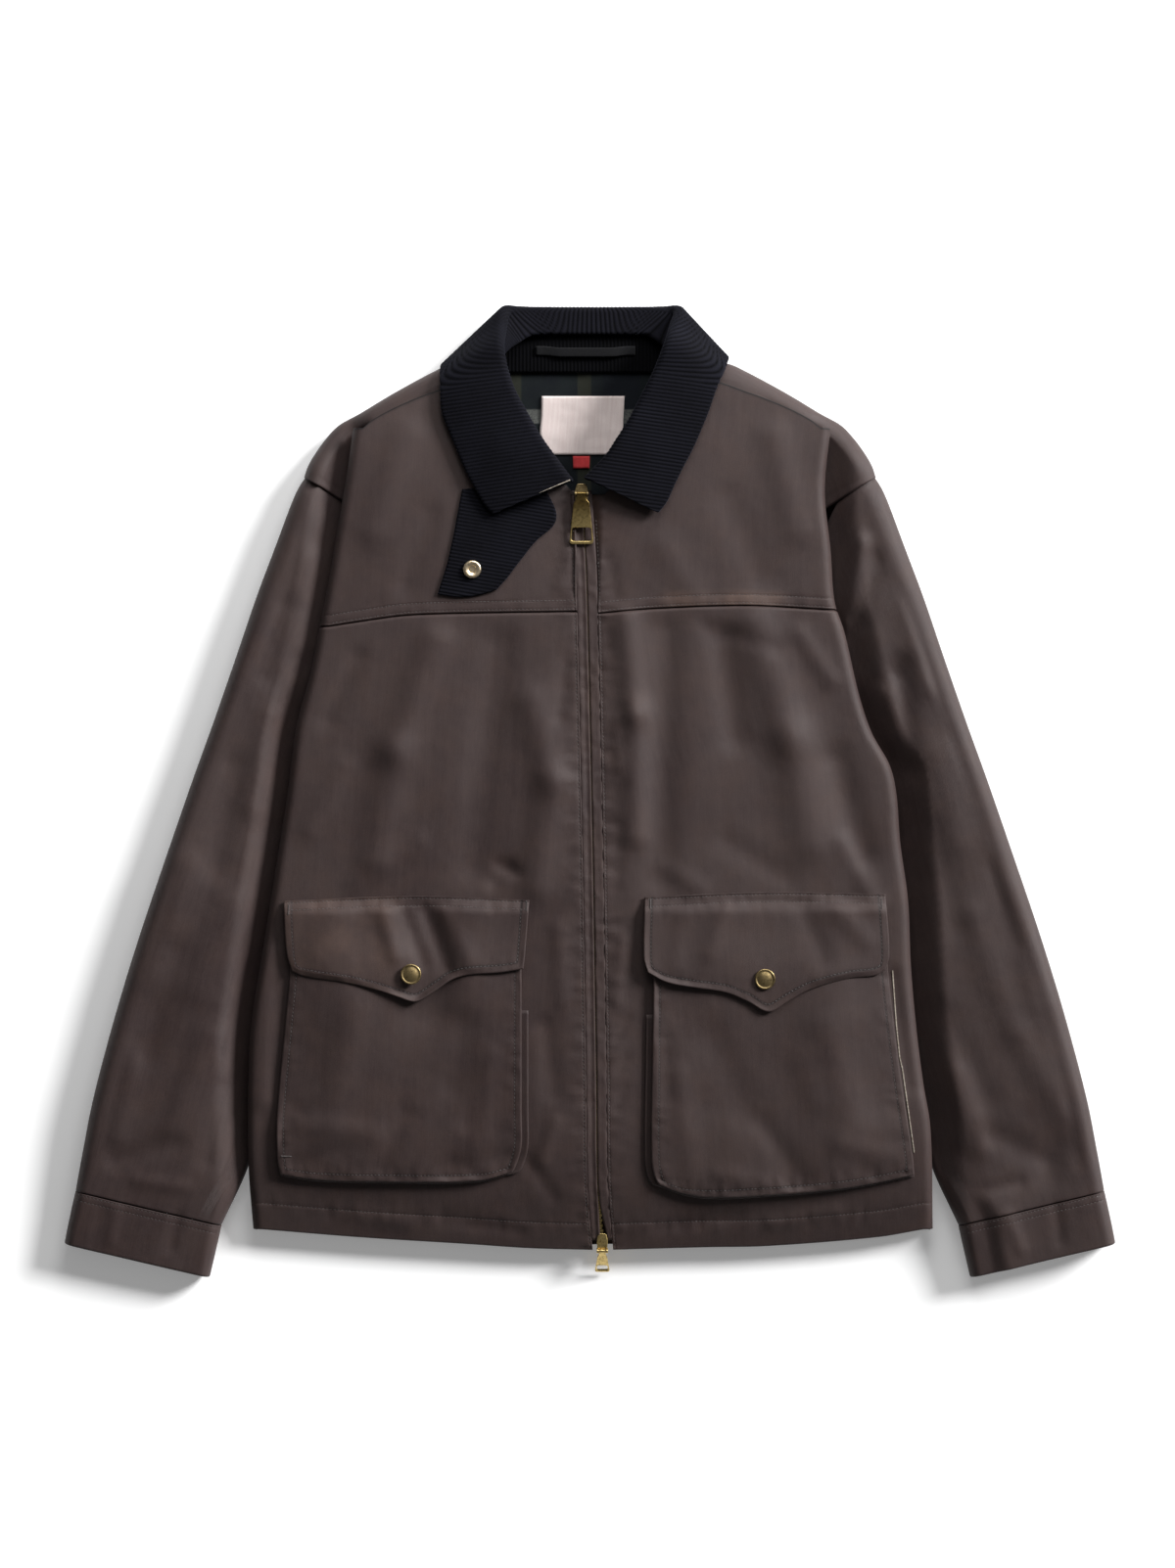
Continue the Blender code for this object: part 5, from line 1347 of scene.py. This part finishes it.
# ---- zip ----
ZIP_LOW, ZIP_HIGH = -366, 246
STRIP_THICK = 1.0
STRIP_WIDE = 8.6
TEETH = 276
TEETH_LOW = -367
TOOTH_PITCH = 2.2
TEETH_DEEP = 1.7

# The strip from its outer edge to the slit: distance from the zip's line, and depth there.
STRIPS = {
    -1: (
        (8.6, 0.55), (8, 0.35), (7.2, 0.3), (6.2, 0.4), (5.2, 0.62), (4.2, 0.82), (3.2, 0.8),
        (2.3, 0.6), (1.6, 0.4), (1, 0.35), (0.6, 0.5), (0.3, 0.9), (0.12, 1.4), (0.08, 1.9)),
    1: (
        (8.6, 0.55), (8, 0.3), (7.2, 0.18), (6.2, 0.15), (5.2, 0.16), (4.2, 0.18), (3.2, 0.14),
        (2.2, 0.12), (1.3, 0.16), (0.7, 0.35), (0.3, 0.8), (0.12, 1.4), (0.08, 1.9)),
}
ZIP_GAP = {
    -1: Table("y gap", (-372, 1.6), (-352, 0.7), (-333, 0.05), (-300, 0), (240, 0)),
    1: Table("y gap",
        (-372, 5.6), (-360, 4), (-345, 1.6), (-333, 0.25), (-300, 0.12), (-230, 0.1), (-215, 0),
        (240, 0)),
}


def zip_strip(side):
    """The folded edge of cloth that covers the zip's tape and teeth, up to the slit."""
    seed = 6 + side
    seam = YOKE_SEAM[-1](0)
    grid = []
    for y in evenly(ZIP_LOW, ZIP_HIGH, 240):
        dip = 0.2 * smooth((y - seam + 38) / 26) * (1 - smooth((y - seam - 12) / 14))
        line = []
        for place, drop in STRIPS[side]:
            off = place + ZIP_GAP[side](y) * (1 - place / STRIP_WIDE)
            x = ZIP_LINE(y) + side * off
            wave = 0.55 * uneven(x, y, 9, 5.2, seed) + 0.35 * uneven(x, y, 20, 13, seed)
            free = smooth(off / 2) * smooth((STRIP_WIDE - off) / 2)
            wear_light_shade_share = 0.12 * math.exp(-(off - 1.3) ** 2)
            line.append((x, y, body_top(x, y) - drop - dip + wave * free, wear_light_shade_share))
        grid.append(line)
    return grid


def zip_teeth():
    """Two rows of small brass teeth that lie between each other under the slit."""
    places, faces = [], []
    for k in range(TEETH):
        y = TEETH_LOW + k * TOOTH_PITCH
        way = 1 if k % 2 else -1
        x = ZIP_LINE(y)
        top = body_top(x, y) - TEETH_DEEP
        ring = [len(places) + corner for corner in (0, 2, 4, 6)][::way]
        for reach, half in ((-1.7, -1.0), (0.8, -0.7), (0.8, 0.7), (-1.7, 1.0)):
            a = x + way * reach
            places += [(a, y + half, top), (a, y + half * 1.15, top - 1.2)]
        faces += [ring] + [[b, a, a + 1, b + 1] for a, b in ring_pairs(ring)]
        faces.append([v + 1 for v in reversed(ring)])
    return put("zip_teeth", places, faces, brass, "brass", sharp=20)


# ---- sliders and snaps ----
# half is half a width. A tab has its widths near the hinge and far from it, its hole's start and
# end, and its slope at rest.
SLIDERS = {
    "top": dict(y=241.8, long=19.0, half=5.6, high=2.7, hinge_y=243.0, rise=2.6, tab=41.0,
                tab_near=6.4, tab_far=10.0, slope=5.4, hole=(27.5, 38.5), hole_half=7.6,
                corner=3.2, tarnish=1.0, look=antique),
    "bottom": dict(y=-368.3, long=16.0, half=4.6, high=1.5, hinge_y=-374.3, rise=3.9, tab=26.0,
                   tab_near=3.9, tab_far=6.2, slope=44.0, hole=(17.5, 23.6), hole_half=4.2,
                   corner=2.2, tarnish=0.0, look=brass),
}
SLIDER_THICK = 2.2
EAR_HALF = 3.5
EAR_THICK = 1.5
EAR_OVER_HINGE = 1.8
BARREL_HALF = 1.5
BARREL_EDGE = 0.3
BARREL_STEPS = 14
TAB_HALF_THICK = 0.9
TURN_STEPS = 40

CAP_PROFILE = (
    (7.6, 0), (8.1, 0.1), (8.35, 0.5), (8.4, 0.9), (8.15, 1.4), (7.7, 1.65), (7.2, 1.6),
    (6.8, 1.35), (6.5, 1.25), (6, 1.35), (5, 1.75), (3.8, 2.15), (2.4, 2.45), (1, 2.6),
    (0.2, 2.62))
SOCKET_PROFILE = (
    (7, 0), (7.3, 0.1), (7.4, 0.6), (7.2, 1.2), (6.7, 1.7), (6, 1.95), (5.2, 1.9), (4.4, 1.6),
    (3.7, 1.3), (3.2, 1.15), (2.9, 0.9), (2.75, 0.3), (2.7, -1.4), (1.4, -1.5), (0.2, -1.5))


def slider_place(size):
    """Across and up at the top of a slider's body."""
    x = ZIP_LINE(size["y"])
    return x, plain_top(x, size["y"]) + size["high"]


def rounded(corners, radius):
    """An outline through corners, each replaced by an arc."""
    made = []
    for i, corner in enumerate(corners):
        here = Vector(corner)
        back, ahead = (Vector(corners[k % len(corners)]) - here for k in (i - 1, i + 1))
        r = min(radius, back.length * 0.45, ahead.length * 0.45)
        a, b = here + back.normalized() * r, here + ahead.normalized() * r
        made += [(a * (1 - t) ** 2 + here * 2 * t * (1 - t) + b * t * t)[:] for t in steps(6)]
    return made


def mirrored(half):
    """A closed outline from its points on +X, going down, and the same points on -X."""
    return half + [(-a, b) for a, b in reversed(half)]


def plate(loops, half_thick, bevel):
    """Points and faces of a flat plate with rounded rims, cut from an outline and its holes."""
    outline = bpy.data.curves.new("plate", "CURVE")
    outline.dimensions = "2D"
    outline.fill_mode = "BOTH"
    outline.extrude = half_thick - bevel
    outline.bevel_depth = bevel
    outline.bevel_resolution = 2
    outline.offset = -bevel
    for loop in loops:
        spline = outline.splines.new("POLY")
        spline.points.add(len(loop) - 1)
        for point, (a, b) in zip(spline.points, loop):
            point.co = (a, b, 0, 1)
        spline.use_cyclic_u = True
    carrier = bpy.data.objects.new("plate", outline)
    bpy.context.scene.collection.objects.link(carrier)
    bpy.context.view_layer.update()
    mesh = bpy.data.meshes.new_from_object(
        carrier.evaluated_get(bpy.context.evaluated_depsgraph_get()))
    places = [v.co.copy() for v in mesh.vertices]
    faces = [list(face.vertices) for face in mesh.polygons]
    bpy.data.objects.remove(carrier)
    bpy.data.curves.remove(outline)
    bpy.data.meshes.remove(mesh)
    return places, faces


def ring_stack(rings, count, first=0):
    """Faces between closed rings of points, and over both ends."""
    faces = []
    for low in range(first, first + (rings - 1) * count, count):
        for a, b in ring_pairs(list(range(low, low + count))):
            faces.append([a, b, b + count, a + count])
    last = first + (rings - 1) * count
    return faces + [list(range(first, first + count))[::-1], list(range(last, last + count))]


def slider(which, size):
    """The slider's rounded body with two ears that hold the pull tab's bar."""
    x, top = slider_place(size)
    half, y, hinge_y = size["half"], size["y"], size["hinge_y"]
    low, high = y - size["long"] / 2, y + size["long"] / 2
    body = rounded([(-half * 0.82, low), (half * 0.82, low), (half, high - 6),
                    (half * 0.7, high), (-half * 0.7, high), (-half, high - 6)], 2.0)
    places, faces = plate([body], SLIDER_THICK / 2, 0.5)
    spots = [Vector((x + p.x, p.y, top - SLIDER_THICK / 2 + p.z)) for p in places]
    ear = [(hinge_y + EAR_HALF / 2 * math.cos(angle),
            top + size["rise"] + EAR_OVER_HINGE * math.sin(angle))
           for angle in evenly(0, math.pi, 10)]
    ear += [(hinge_y + way * (EAR_HALF / 2 + 0.4), top - 0.3) for way in (-1, 1)]
    places, ear_faces = plate([ear], EAR_THICK / 2, 0.3)
    for way in (-1, 1):
        faces += [[v + len(spots) for v in face] for face in ear_faces]
        middle = x + way * (half - EAR_THICK / 2)
        spots += [Vector((middle + p.z, p.x, p.y)) for p in places]
    return put("slider_body_" + which, spots, faces, size["look"], "brass", sharp=35)


def pull_tab(which, size):
    """The tab, widening to its end, with a ring hole and a bar that turns on the hinge."""
    x, top = slider_place(size)
    hinge = Vector((x, size["hinge_y"], top + size["rise"]))
    barrel = size["half"] - EAR_THICK - SEAM
    near, far, long, wide = (size[name] for name in ("tab_near", "tab_far", "tab", "hole_half"))
    first, last = size["hole"]
    outline = mirrored([(barrel, 0), (barrel, -4.6), (near, -7.0), (far, -long)])
    hole = mirrored([(wide, -first), (wide + 0.6, -last)])
    places, faces = plate([rounded(outline, size["corner"]), rounded(hole, 2.0)],
                          TAB_HALF_THICK, 0.4)
    slope = math.radians(size["slope"])
    along = Vector((0, math.cos(slope), math.sin(slope)))
    up = Vector((0, -math.sin(slope), math.cos(slope)))
    spots = [hinge + Vector((p.x, 0, 0)) + along * p.y + up * p.z for p in places]
    tarnish = [size["tarnish"] * smooth((14 + p.y) / 5) for p in places]
    faces += ring_stack(4, BARREL_STEPS, len(spots))
    for off, radius in ((-barrel, BARREL_HALF - BARREL_EDGE), (BARREL_EDGE - barrel, BARREL_HALF),
                        (barrel - BARREL_EDGE, BARREL_HALF), (barrel, BARREL_HALF - BARREL_EDGE)):
        for angle in evenly(0, 2 * math.pi, BARREL_STEPS)[:-1]:
            arm = Vector((off, radius * math.cos(angle), radius * math.sin(angle)))
            spots.append(hinge + arm)
            tarnish.append(size["tarnish"])
    return put("tab_of_" + which, spots, faces, brass, "brass", which + "_pull", 35,
               wear_light_and_shade=tarnish)


def turned(name, x, y, z, profile, look, slot):
    """A round piece from a profile of radii and heights."""
    places = []
    for radius, height in profile:
        for angle in evenly(0, 2 * math.pi, TURN_STEPS)[:-1]:
            places.append((x + radius * math.cos(angle), y + radius * math.sin(angle), z + height))
    return put(name, places, ring_stack(len(profile), TURN_STEPS), look, slot, sharp=50)


def snap_cap(side):
    x, y = side * SNAPS[side][0], SNAPS[side][1]
    z = flap_height(side, x, y) + SEAM + 0.2
    return turned("cap_" + SIDES[side], x, y, z, CAP_PROFILE, antique, "antique_brass")


def tab_snap():
    x, y = TAB_SNAP
    z = body_top(x, y) + CLEAR + CLOTH + SEAM + 0.3
    return turned("socket_of_tab", x, y, z, SOCKET_PROFILE, pale_brass, "brass")


# ---- sewing ----
STITCH_PITCH = 3.1
STITCH_LONG = 2.3
THREAD_HALF = 0.27
BARTACK_PITCH = 0.9
SHOULDER_STITCH = 1.9
BARTACKS = {
    -1: ((-247, -296, 0, "pocket"), (-51.5, -92, 90, "flap"), (-245, -95, 90, "flap")),
    1: ((49, -90, 90, "flap"), (237, -90, 90, "flap")),
}
HAND_WARMER = ((246.4, -144), (249.6, -189), (252.4, -216), (254.6, -225), (257, -242),
               (264.4, -294))
NECK_EDGE = ((-15.5, 253.9), (-28, 248.7), (-42, 242.7))
EDGING_HIGH = 0.5


def surface(piece):
    """A piece's own surface in millimetres, to lay stitches on."""
    places = [v.co / MM for v in piece.data.vertices]
    return BVHTree.FromPolygons(places, [tuple(f.vertices) for f in piece.data.polygons])


def laid(tree, place):
    """The point of a surface that is seen from above at a plan place, or None."""
    return tree.ray_cast(Vector((*place, 90)), DOWN)[0]


def walk(path, pitch):
    """Plan places at even distances along a path, with the direction there."""
    run, left = [], pitch / 2
    for a, b in zip(path, path[1:]):
        a, b = Vector(a), Vector(b)
        long = (b - a).length
        while left <= long and long > 0:
            run.append((a.lerp(b, left / long), (b - a).normalized()))
            left += pitch
        left -= long
    return run


def stitches(sewn, tree, path, pitch=STITCH_PITCH, long=STITCH_LONG, half=THREAD_HALF):
    """Add a row of raised stitches along a plan path to the points and faces of sewn."""
    places, faces = sewn
    for middle, ahead in walk(path, pitch):
        ends = [laid(tree, middle + ahead * long / 2 * k) for k in (-1, -0.4, 0.4, 1)]
        if None in ends or abs(ends[0].z - ends[3].z) > long:
            continue
        across = Vector((-ahead.y, ahead.x, 0)) * half
        base = len(places)
        a, b = base + 1, base + 4
        places.append(ends[0] + DOWN * 0.1)
        for spot in ends[1:3]:
            places += [spot + across, spot - DOWN * half * 1.1, spot - across]
        places.append(ends[3] + DOWN * 0.1)
        for k, after in ((0, 1), (1, 2), (2, 0)):
            faces += [[base, a + k, a + after], [a + k, b + k, b + after, a + after],
                      [b + k, base + 7, b + after]]


def front_edge_path(side, low, high, count):
    """Plan path along a front's zip edge, at the stitches' distance from it."""
    return [(front_edge_x(side, y) + side * EDGE_STITCH, y) for y in evenly(low, high, count)]


def across_front(side, line, off):
    """Plan path over a front from its zip edge to its fold, at a distance over a line."""
    return [(front_x(side, mix(0.012, 1, s), line(s) + off), line(s) + off) for s in steps(60)]


def pocket_rim(side, off):
    """Plan path down one side of a pocket, along its bottom and up the other, inside its rim."""
    u0, v1 = off / POCKET_WIDE, 1 - off / POCKET_TALL
    path = [pocket_spot(side, u0, v) for v in evenly(0.2, v1, 24)]
    path += [pocket_spot(side, u, v1) for u in evenly(u0, 1 - u0, 48)]
    return path + [pocket_spot(side, 1 - u0, v) for v in evenly(v1, 0.2, 24)]


def flap_rim(side, off):
    """Plan path round a flap's free rim, at a distance inside it."""
    u0 = off / POCKET_WIDE
    path = [flap_spot(side, u0, v) for v in evenly(0.12, 0.86, 16)]
    for u in evenly(u0 * 1.4, 1 - u0 * 1.4, 60):
        tall = FLAP_TOP[side](u) - FLAP_BOTTOM[side](u)
        path.append(flap_spot(side, u, 1 - off * flap_lean(side, u, 0.02, 4) / tall))
    return path + [flap_spot(side, 1 - u0, v) for v in evenly(0.86, 0.12, 16)]


def flap_seam(side, off):
    """Plan path below a flap's upper edge."""
    return [(flap_spot(side, u, 0)[0], FLAP_TOP[side](u) - off)
            for u in evenly(0.01, 0.99, 50)]


def cuff_path(side, off):
    """Plan path across the upper side of a cuff."""
    row = CUFF_RINGS.at(off / CUFF_LONG * CUFF_RINGS.last)
    path = (ring_place(row, w) for w in evenly(0.015, 0.985, 40))
    return [(side * x, y) for x, y in path]


def shoulder_path(side, off):
    """Plan path beside the shoulder seam, on the back's forward edge."""
    path = []
    for sx, sy, ex, ey in list(zip(*WRAP.columns.values()))[:-1]:
        edge, end = Vector((sx, sy)), Vector((ex, ey))
        place = end + (edge - end).normalized() * off
        path.append((side * place.x, place.y))
    return path


def sew(side):
    """All the rows of stitches of one side that are seen from outside."""
    hem, seam = HEM[side], YOKE_SEAM[side]
    rows = {
        "front_panel": [front_edge_path(side, hem(0) + 3, seam(0) - 1, 80),
                        across_front(side, hem, HEM_STITCH)],
        "front_yoke": [front_edge_path(side, seam(0) + 2, seam(0) + 76, 20)]
                      + [across_front(side, seam, off) for off in YOKE_STITCHES],
        "pocket": [pocket_rim(side, POCKET_STITCH)],
        "flap": [flap_rim(side, FLAP_STITCH)]
                + [flap_seam(side, off) for off in FLAP_TOP_STITCHES],
        "cuff": [cuff_path(side, off) for off in CUFF_STITCHES],
    }
    sewn = ([], [])
    for name, paths in rows.items():
        tree = surface(cloth[name + "_" + SIDES[side]])
        for path in paths:
            stitches(sewn, tree, path)
    stitches(sewn, surface(cloth["back_panel"]), shoulder_path(side, SHOULDER_STITCH))
    for x, y, lean, name in BARTACKS[side]:
        turn = math.radians(lean)
        reach = Vector((math.cos(turn), math.sin(turn))) * 4
        path = [Vector((x, y)) - reach, Vector((x, y)) + reach]
        tree = surface(cloth[name + "_" + SIDES[side]])
        stitches(sewn, tree, path, BARTACK_PITCH, 1.6, 0.55)
    return put("stitches_" + SIDES[side], *sewn, thread, "waxed_cotton")


def edging(name, piece, path, slot, half, end):
    """A narrow pale folded edge that lies on a piece; half and end are its half widths."""
    tree = surface(piece)
    spots = walk(path, 1.5)
    places, faces = [], []
    for k, (place, ahead) in enumerate(spots):
        across = Vector((-ahead.y, ahead.x, 0)) * mix(half, end, k / (len(spots) - 1))
        spot = laid(tree, place)
        if spot is None:
            continue
        base = len(places)
        places += [spot - across + DOWN * 0.3, spot - across * 0.8 - DOWN * EDGING_HIGH,
                   spot + across * 0.8 - DOWN * EDGING_HIGH, spot + across + DOWN * 0.3]
        if base:
            faces += [[a - 4, b - 4, b, a] for a, b in ring_pairs(list(range(base, base + 4)))]
    faces += [[0, 1, 2, 3], [len(places) - 1 - k for k in range(4)]]
    return put(name, places, faces, cream, slot, sharp=40)


# ---- put the jacket together ----
dress("back_panel", "back_cloth", back_panel(), up=1)
for side, word in SIDES.items():
    on_back, on_front = ["back_panel"], ["front_panel_" + word]
    dress("front_panel_" + word, "front_cloth_" + word, [front_panel(side)], on_back)
    dress("front_yoke_" + word, "yoke_cloth_" + word, [front_yoke(side)], on_back)
    dress("sleeve_" + word, "sleeve_cloth_" + word, [sleeve(side)], up=1)
    dress("cuff_" + word, "cuff_cloth_" + word, [cuff(side)], up=1)
    dress("pocket_" + word, "pocket_cloth_" + word, [pocket(side)], on_front)
    dress("gusset_" + word, "gusset_cloth_" + word, [gusset(side)], on_front,
          thick=GUSSET_THICK)
    dress("flap_" + word, "flap_cloth_" + word, [flap(side)], ["pocket_" + word])
    dress("zip_tape_" + word, "zip_strip_" + word, [zip_strip(side)],
          ["zip_chain"], thick=STRIP_THICK, slot="woven_tape")
    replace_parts(snap_cap(side), "snap_cap_" + word)
dress("collar", "collar_cloth", [collar()], ["front_yoke_left", "front_yoke_right"],
      thick=CORD_CLOTH, look=cord, slot="corduroy")
dress("throat_tab", "tab_cloth", [throat_tab()], ["front_yoke_right"], look=cord,
      slot="corduroy")
dress("hanger_loop", "loop_cloth", [hanger_loop()], ["collar_stand"], thick=TAPE,
      look=tape, slot="woven_tape")
dress("collar_stand", "stand_cloth", [band(STAND, stand_point, 244, 20)],
      ["back_panel"], thick=CORD_CLOTH, look=cord, slot="corduroy")
dress("neck_lining", "lining_cloth", [band(LINING, lining_point, 60, 42)],
      ["back_panel"], thick=LINING_THICK, look=check, slot="lining_cotton")
dress("neck_label", "label_cloth_piece", [band(LABEL, label_point, 34, 24)],
      ["neck_lining"], thick=LABEL_THICK, look=label_look, slot="label_cloth")
dress("size_tag", "tag_cloth_piece", [band(SIZE_TAG, label_point, 8, 6)],
      ["neck_lining"], thick=LABEL_THICK, look=tag_look, slot="tag_cloth")
for side in SIDES:
    sew(side)
edging("hand_warmer_edge", cloth["front_panel_left"], HAND_WARMER, "waxed_cotton", 0.55, 0.45)
edging("under_collar_edge", cloth["collar"], NECK_EDGE, "corduroy", 0.5, 0.14)
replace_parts(zip_teeth(), "zip_chain")
for which, size in SLIDERS.items():
    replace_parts(slider(which, size), "slider_" + which)
    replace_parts(pull_tab(which, size), "pull_" + which)
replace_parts(tab_snap(), "tab_snap")


# ---- picture ----
SUN_POWER = 6.8
TOP_POWER = 14.5
ROOM_POWER = 0.12
FLOOR_HALF = 30.0
FLOOR_Z = -0.0005
LENS = 89.9
EYE = (-0.002, 0.0072, 3.22)


def placed(name, data, place=(0, 0, 0)):
    made = bpy.data.objects.new(name, data)
    made.location = place
    bpy.context.scene.collection.objects.link(made)
    return made


def lamp(name, kind, place, aim, **settings):
    """A light at a place, turned to an aim, both in metres."""
    data = bpy.data.lights.new(name, kind)
    for key, value in settings.items():
        setattr(data, key, value)
    turn = (Vector(aim) - Vector(place)).to_track_quat("-Z", "Y")
    placed(name, data, place).rotation_euler = turn.to_euler()


scene = bpy.context.scene
scene.view_settings.view_transform = "Standard"
scene.view_settings.look = "None"
scene.view_settings.exposure = 0
scene.view_settings.gamma = 1

floor_mesh = bpy.data.meshes.new("floor")
corners = ((-1, -1), (1, -1), (1, 1), (-1, 1))
floor_mesh.from_pydata([(FLOOR_HALF * x, FLOOR_HALF * y, FLOOR_Z) for x, y in corners], [],
                       [(0, 1, 2, 3)])
floor_mesh.materials.append(floor_look())
placed("floor", floor_mesh)

lamp("side_light", "SUN", (1.50, 0.98, 0.72), (0, 0, 0), energy=SUN_POWER,
     angle=math.radians(18))
lamp("top_light", "AREA", (0.15, 1.25, 0.85), (0, -0.1, 0), energy=TOP_POWER, size=0.9)

world = bpy.data.worlds.new("white_room")
world.use_nodes = True
world.node_tree.nodes["Background"].inputs["Color"].default_value = (1, 1, 1, 1)
world.node_tree.nodes["Background"].inputs["Strength"].default_value = ROOM_POWER
scene.world = world

eye = bpy.data.cameras.new("eye")
eye.type = "PERSP"
eye.sensor_width = 36
eye.sensor_fit = "AUTO"
eye.lens = LENS
scene.camera = placed("eye", eye, EYE)
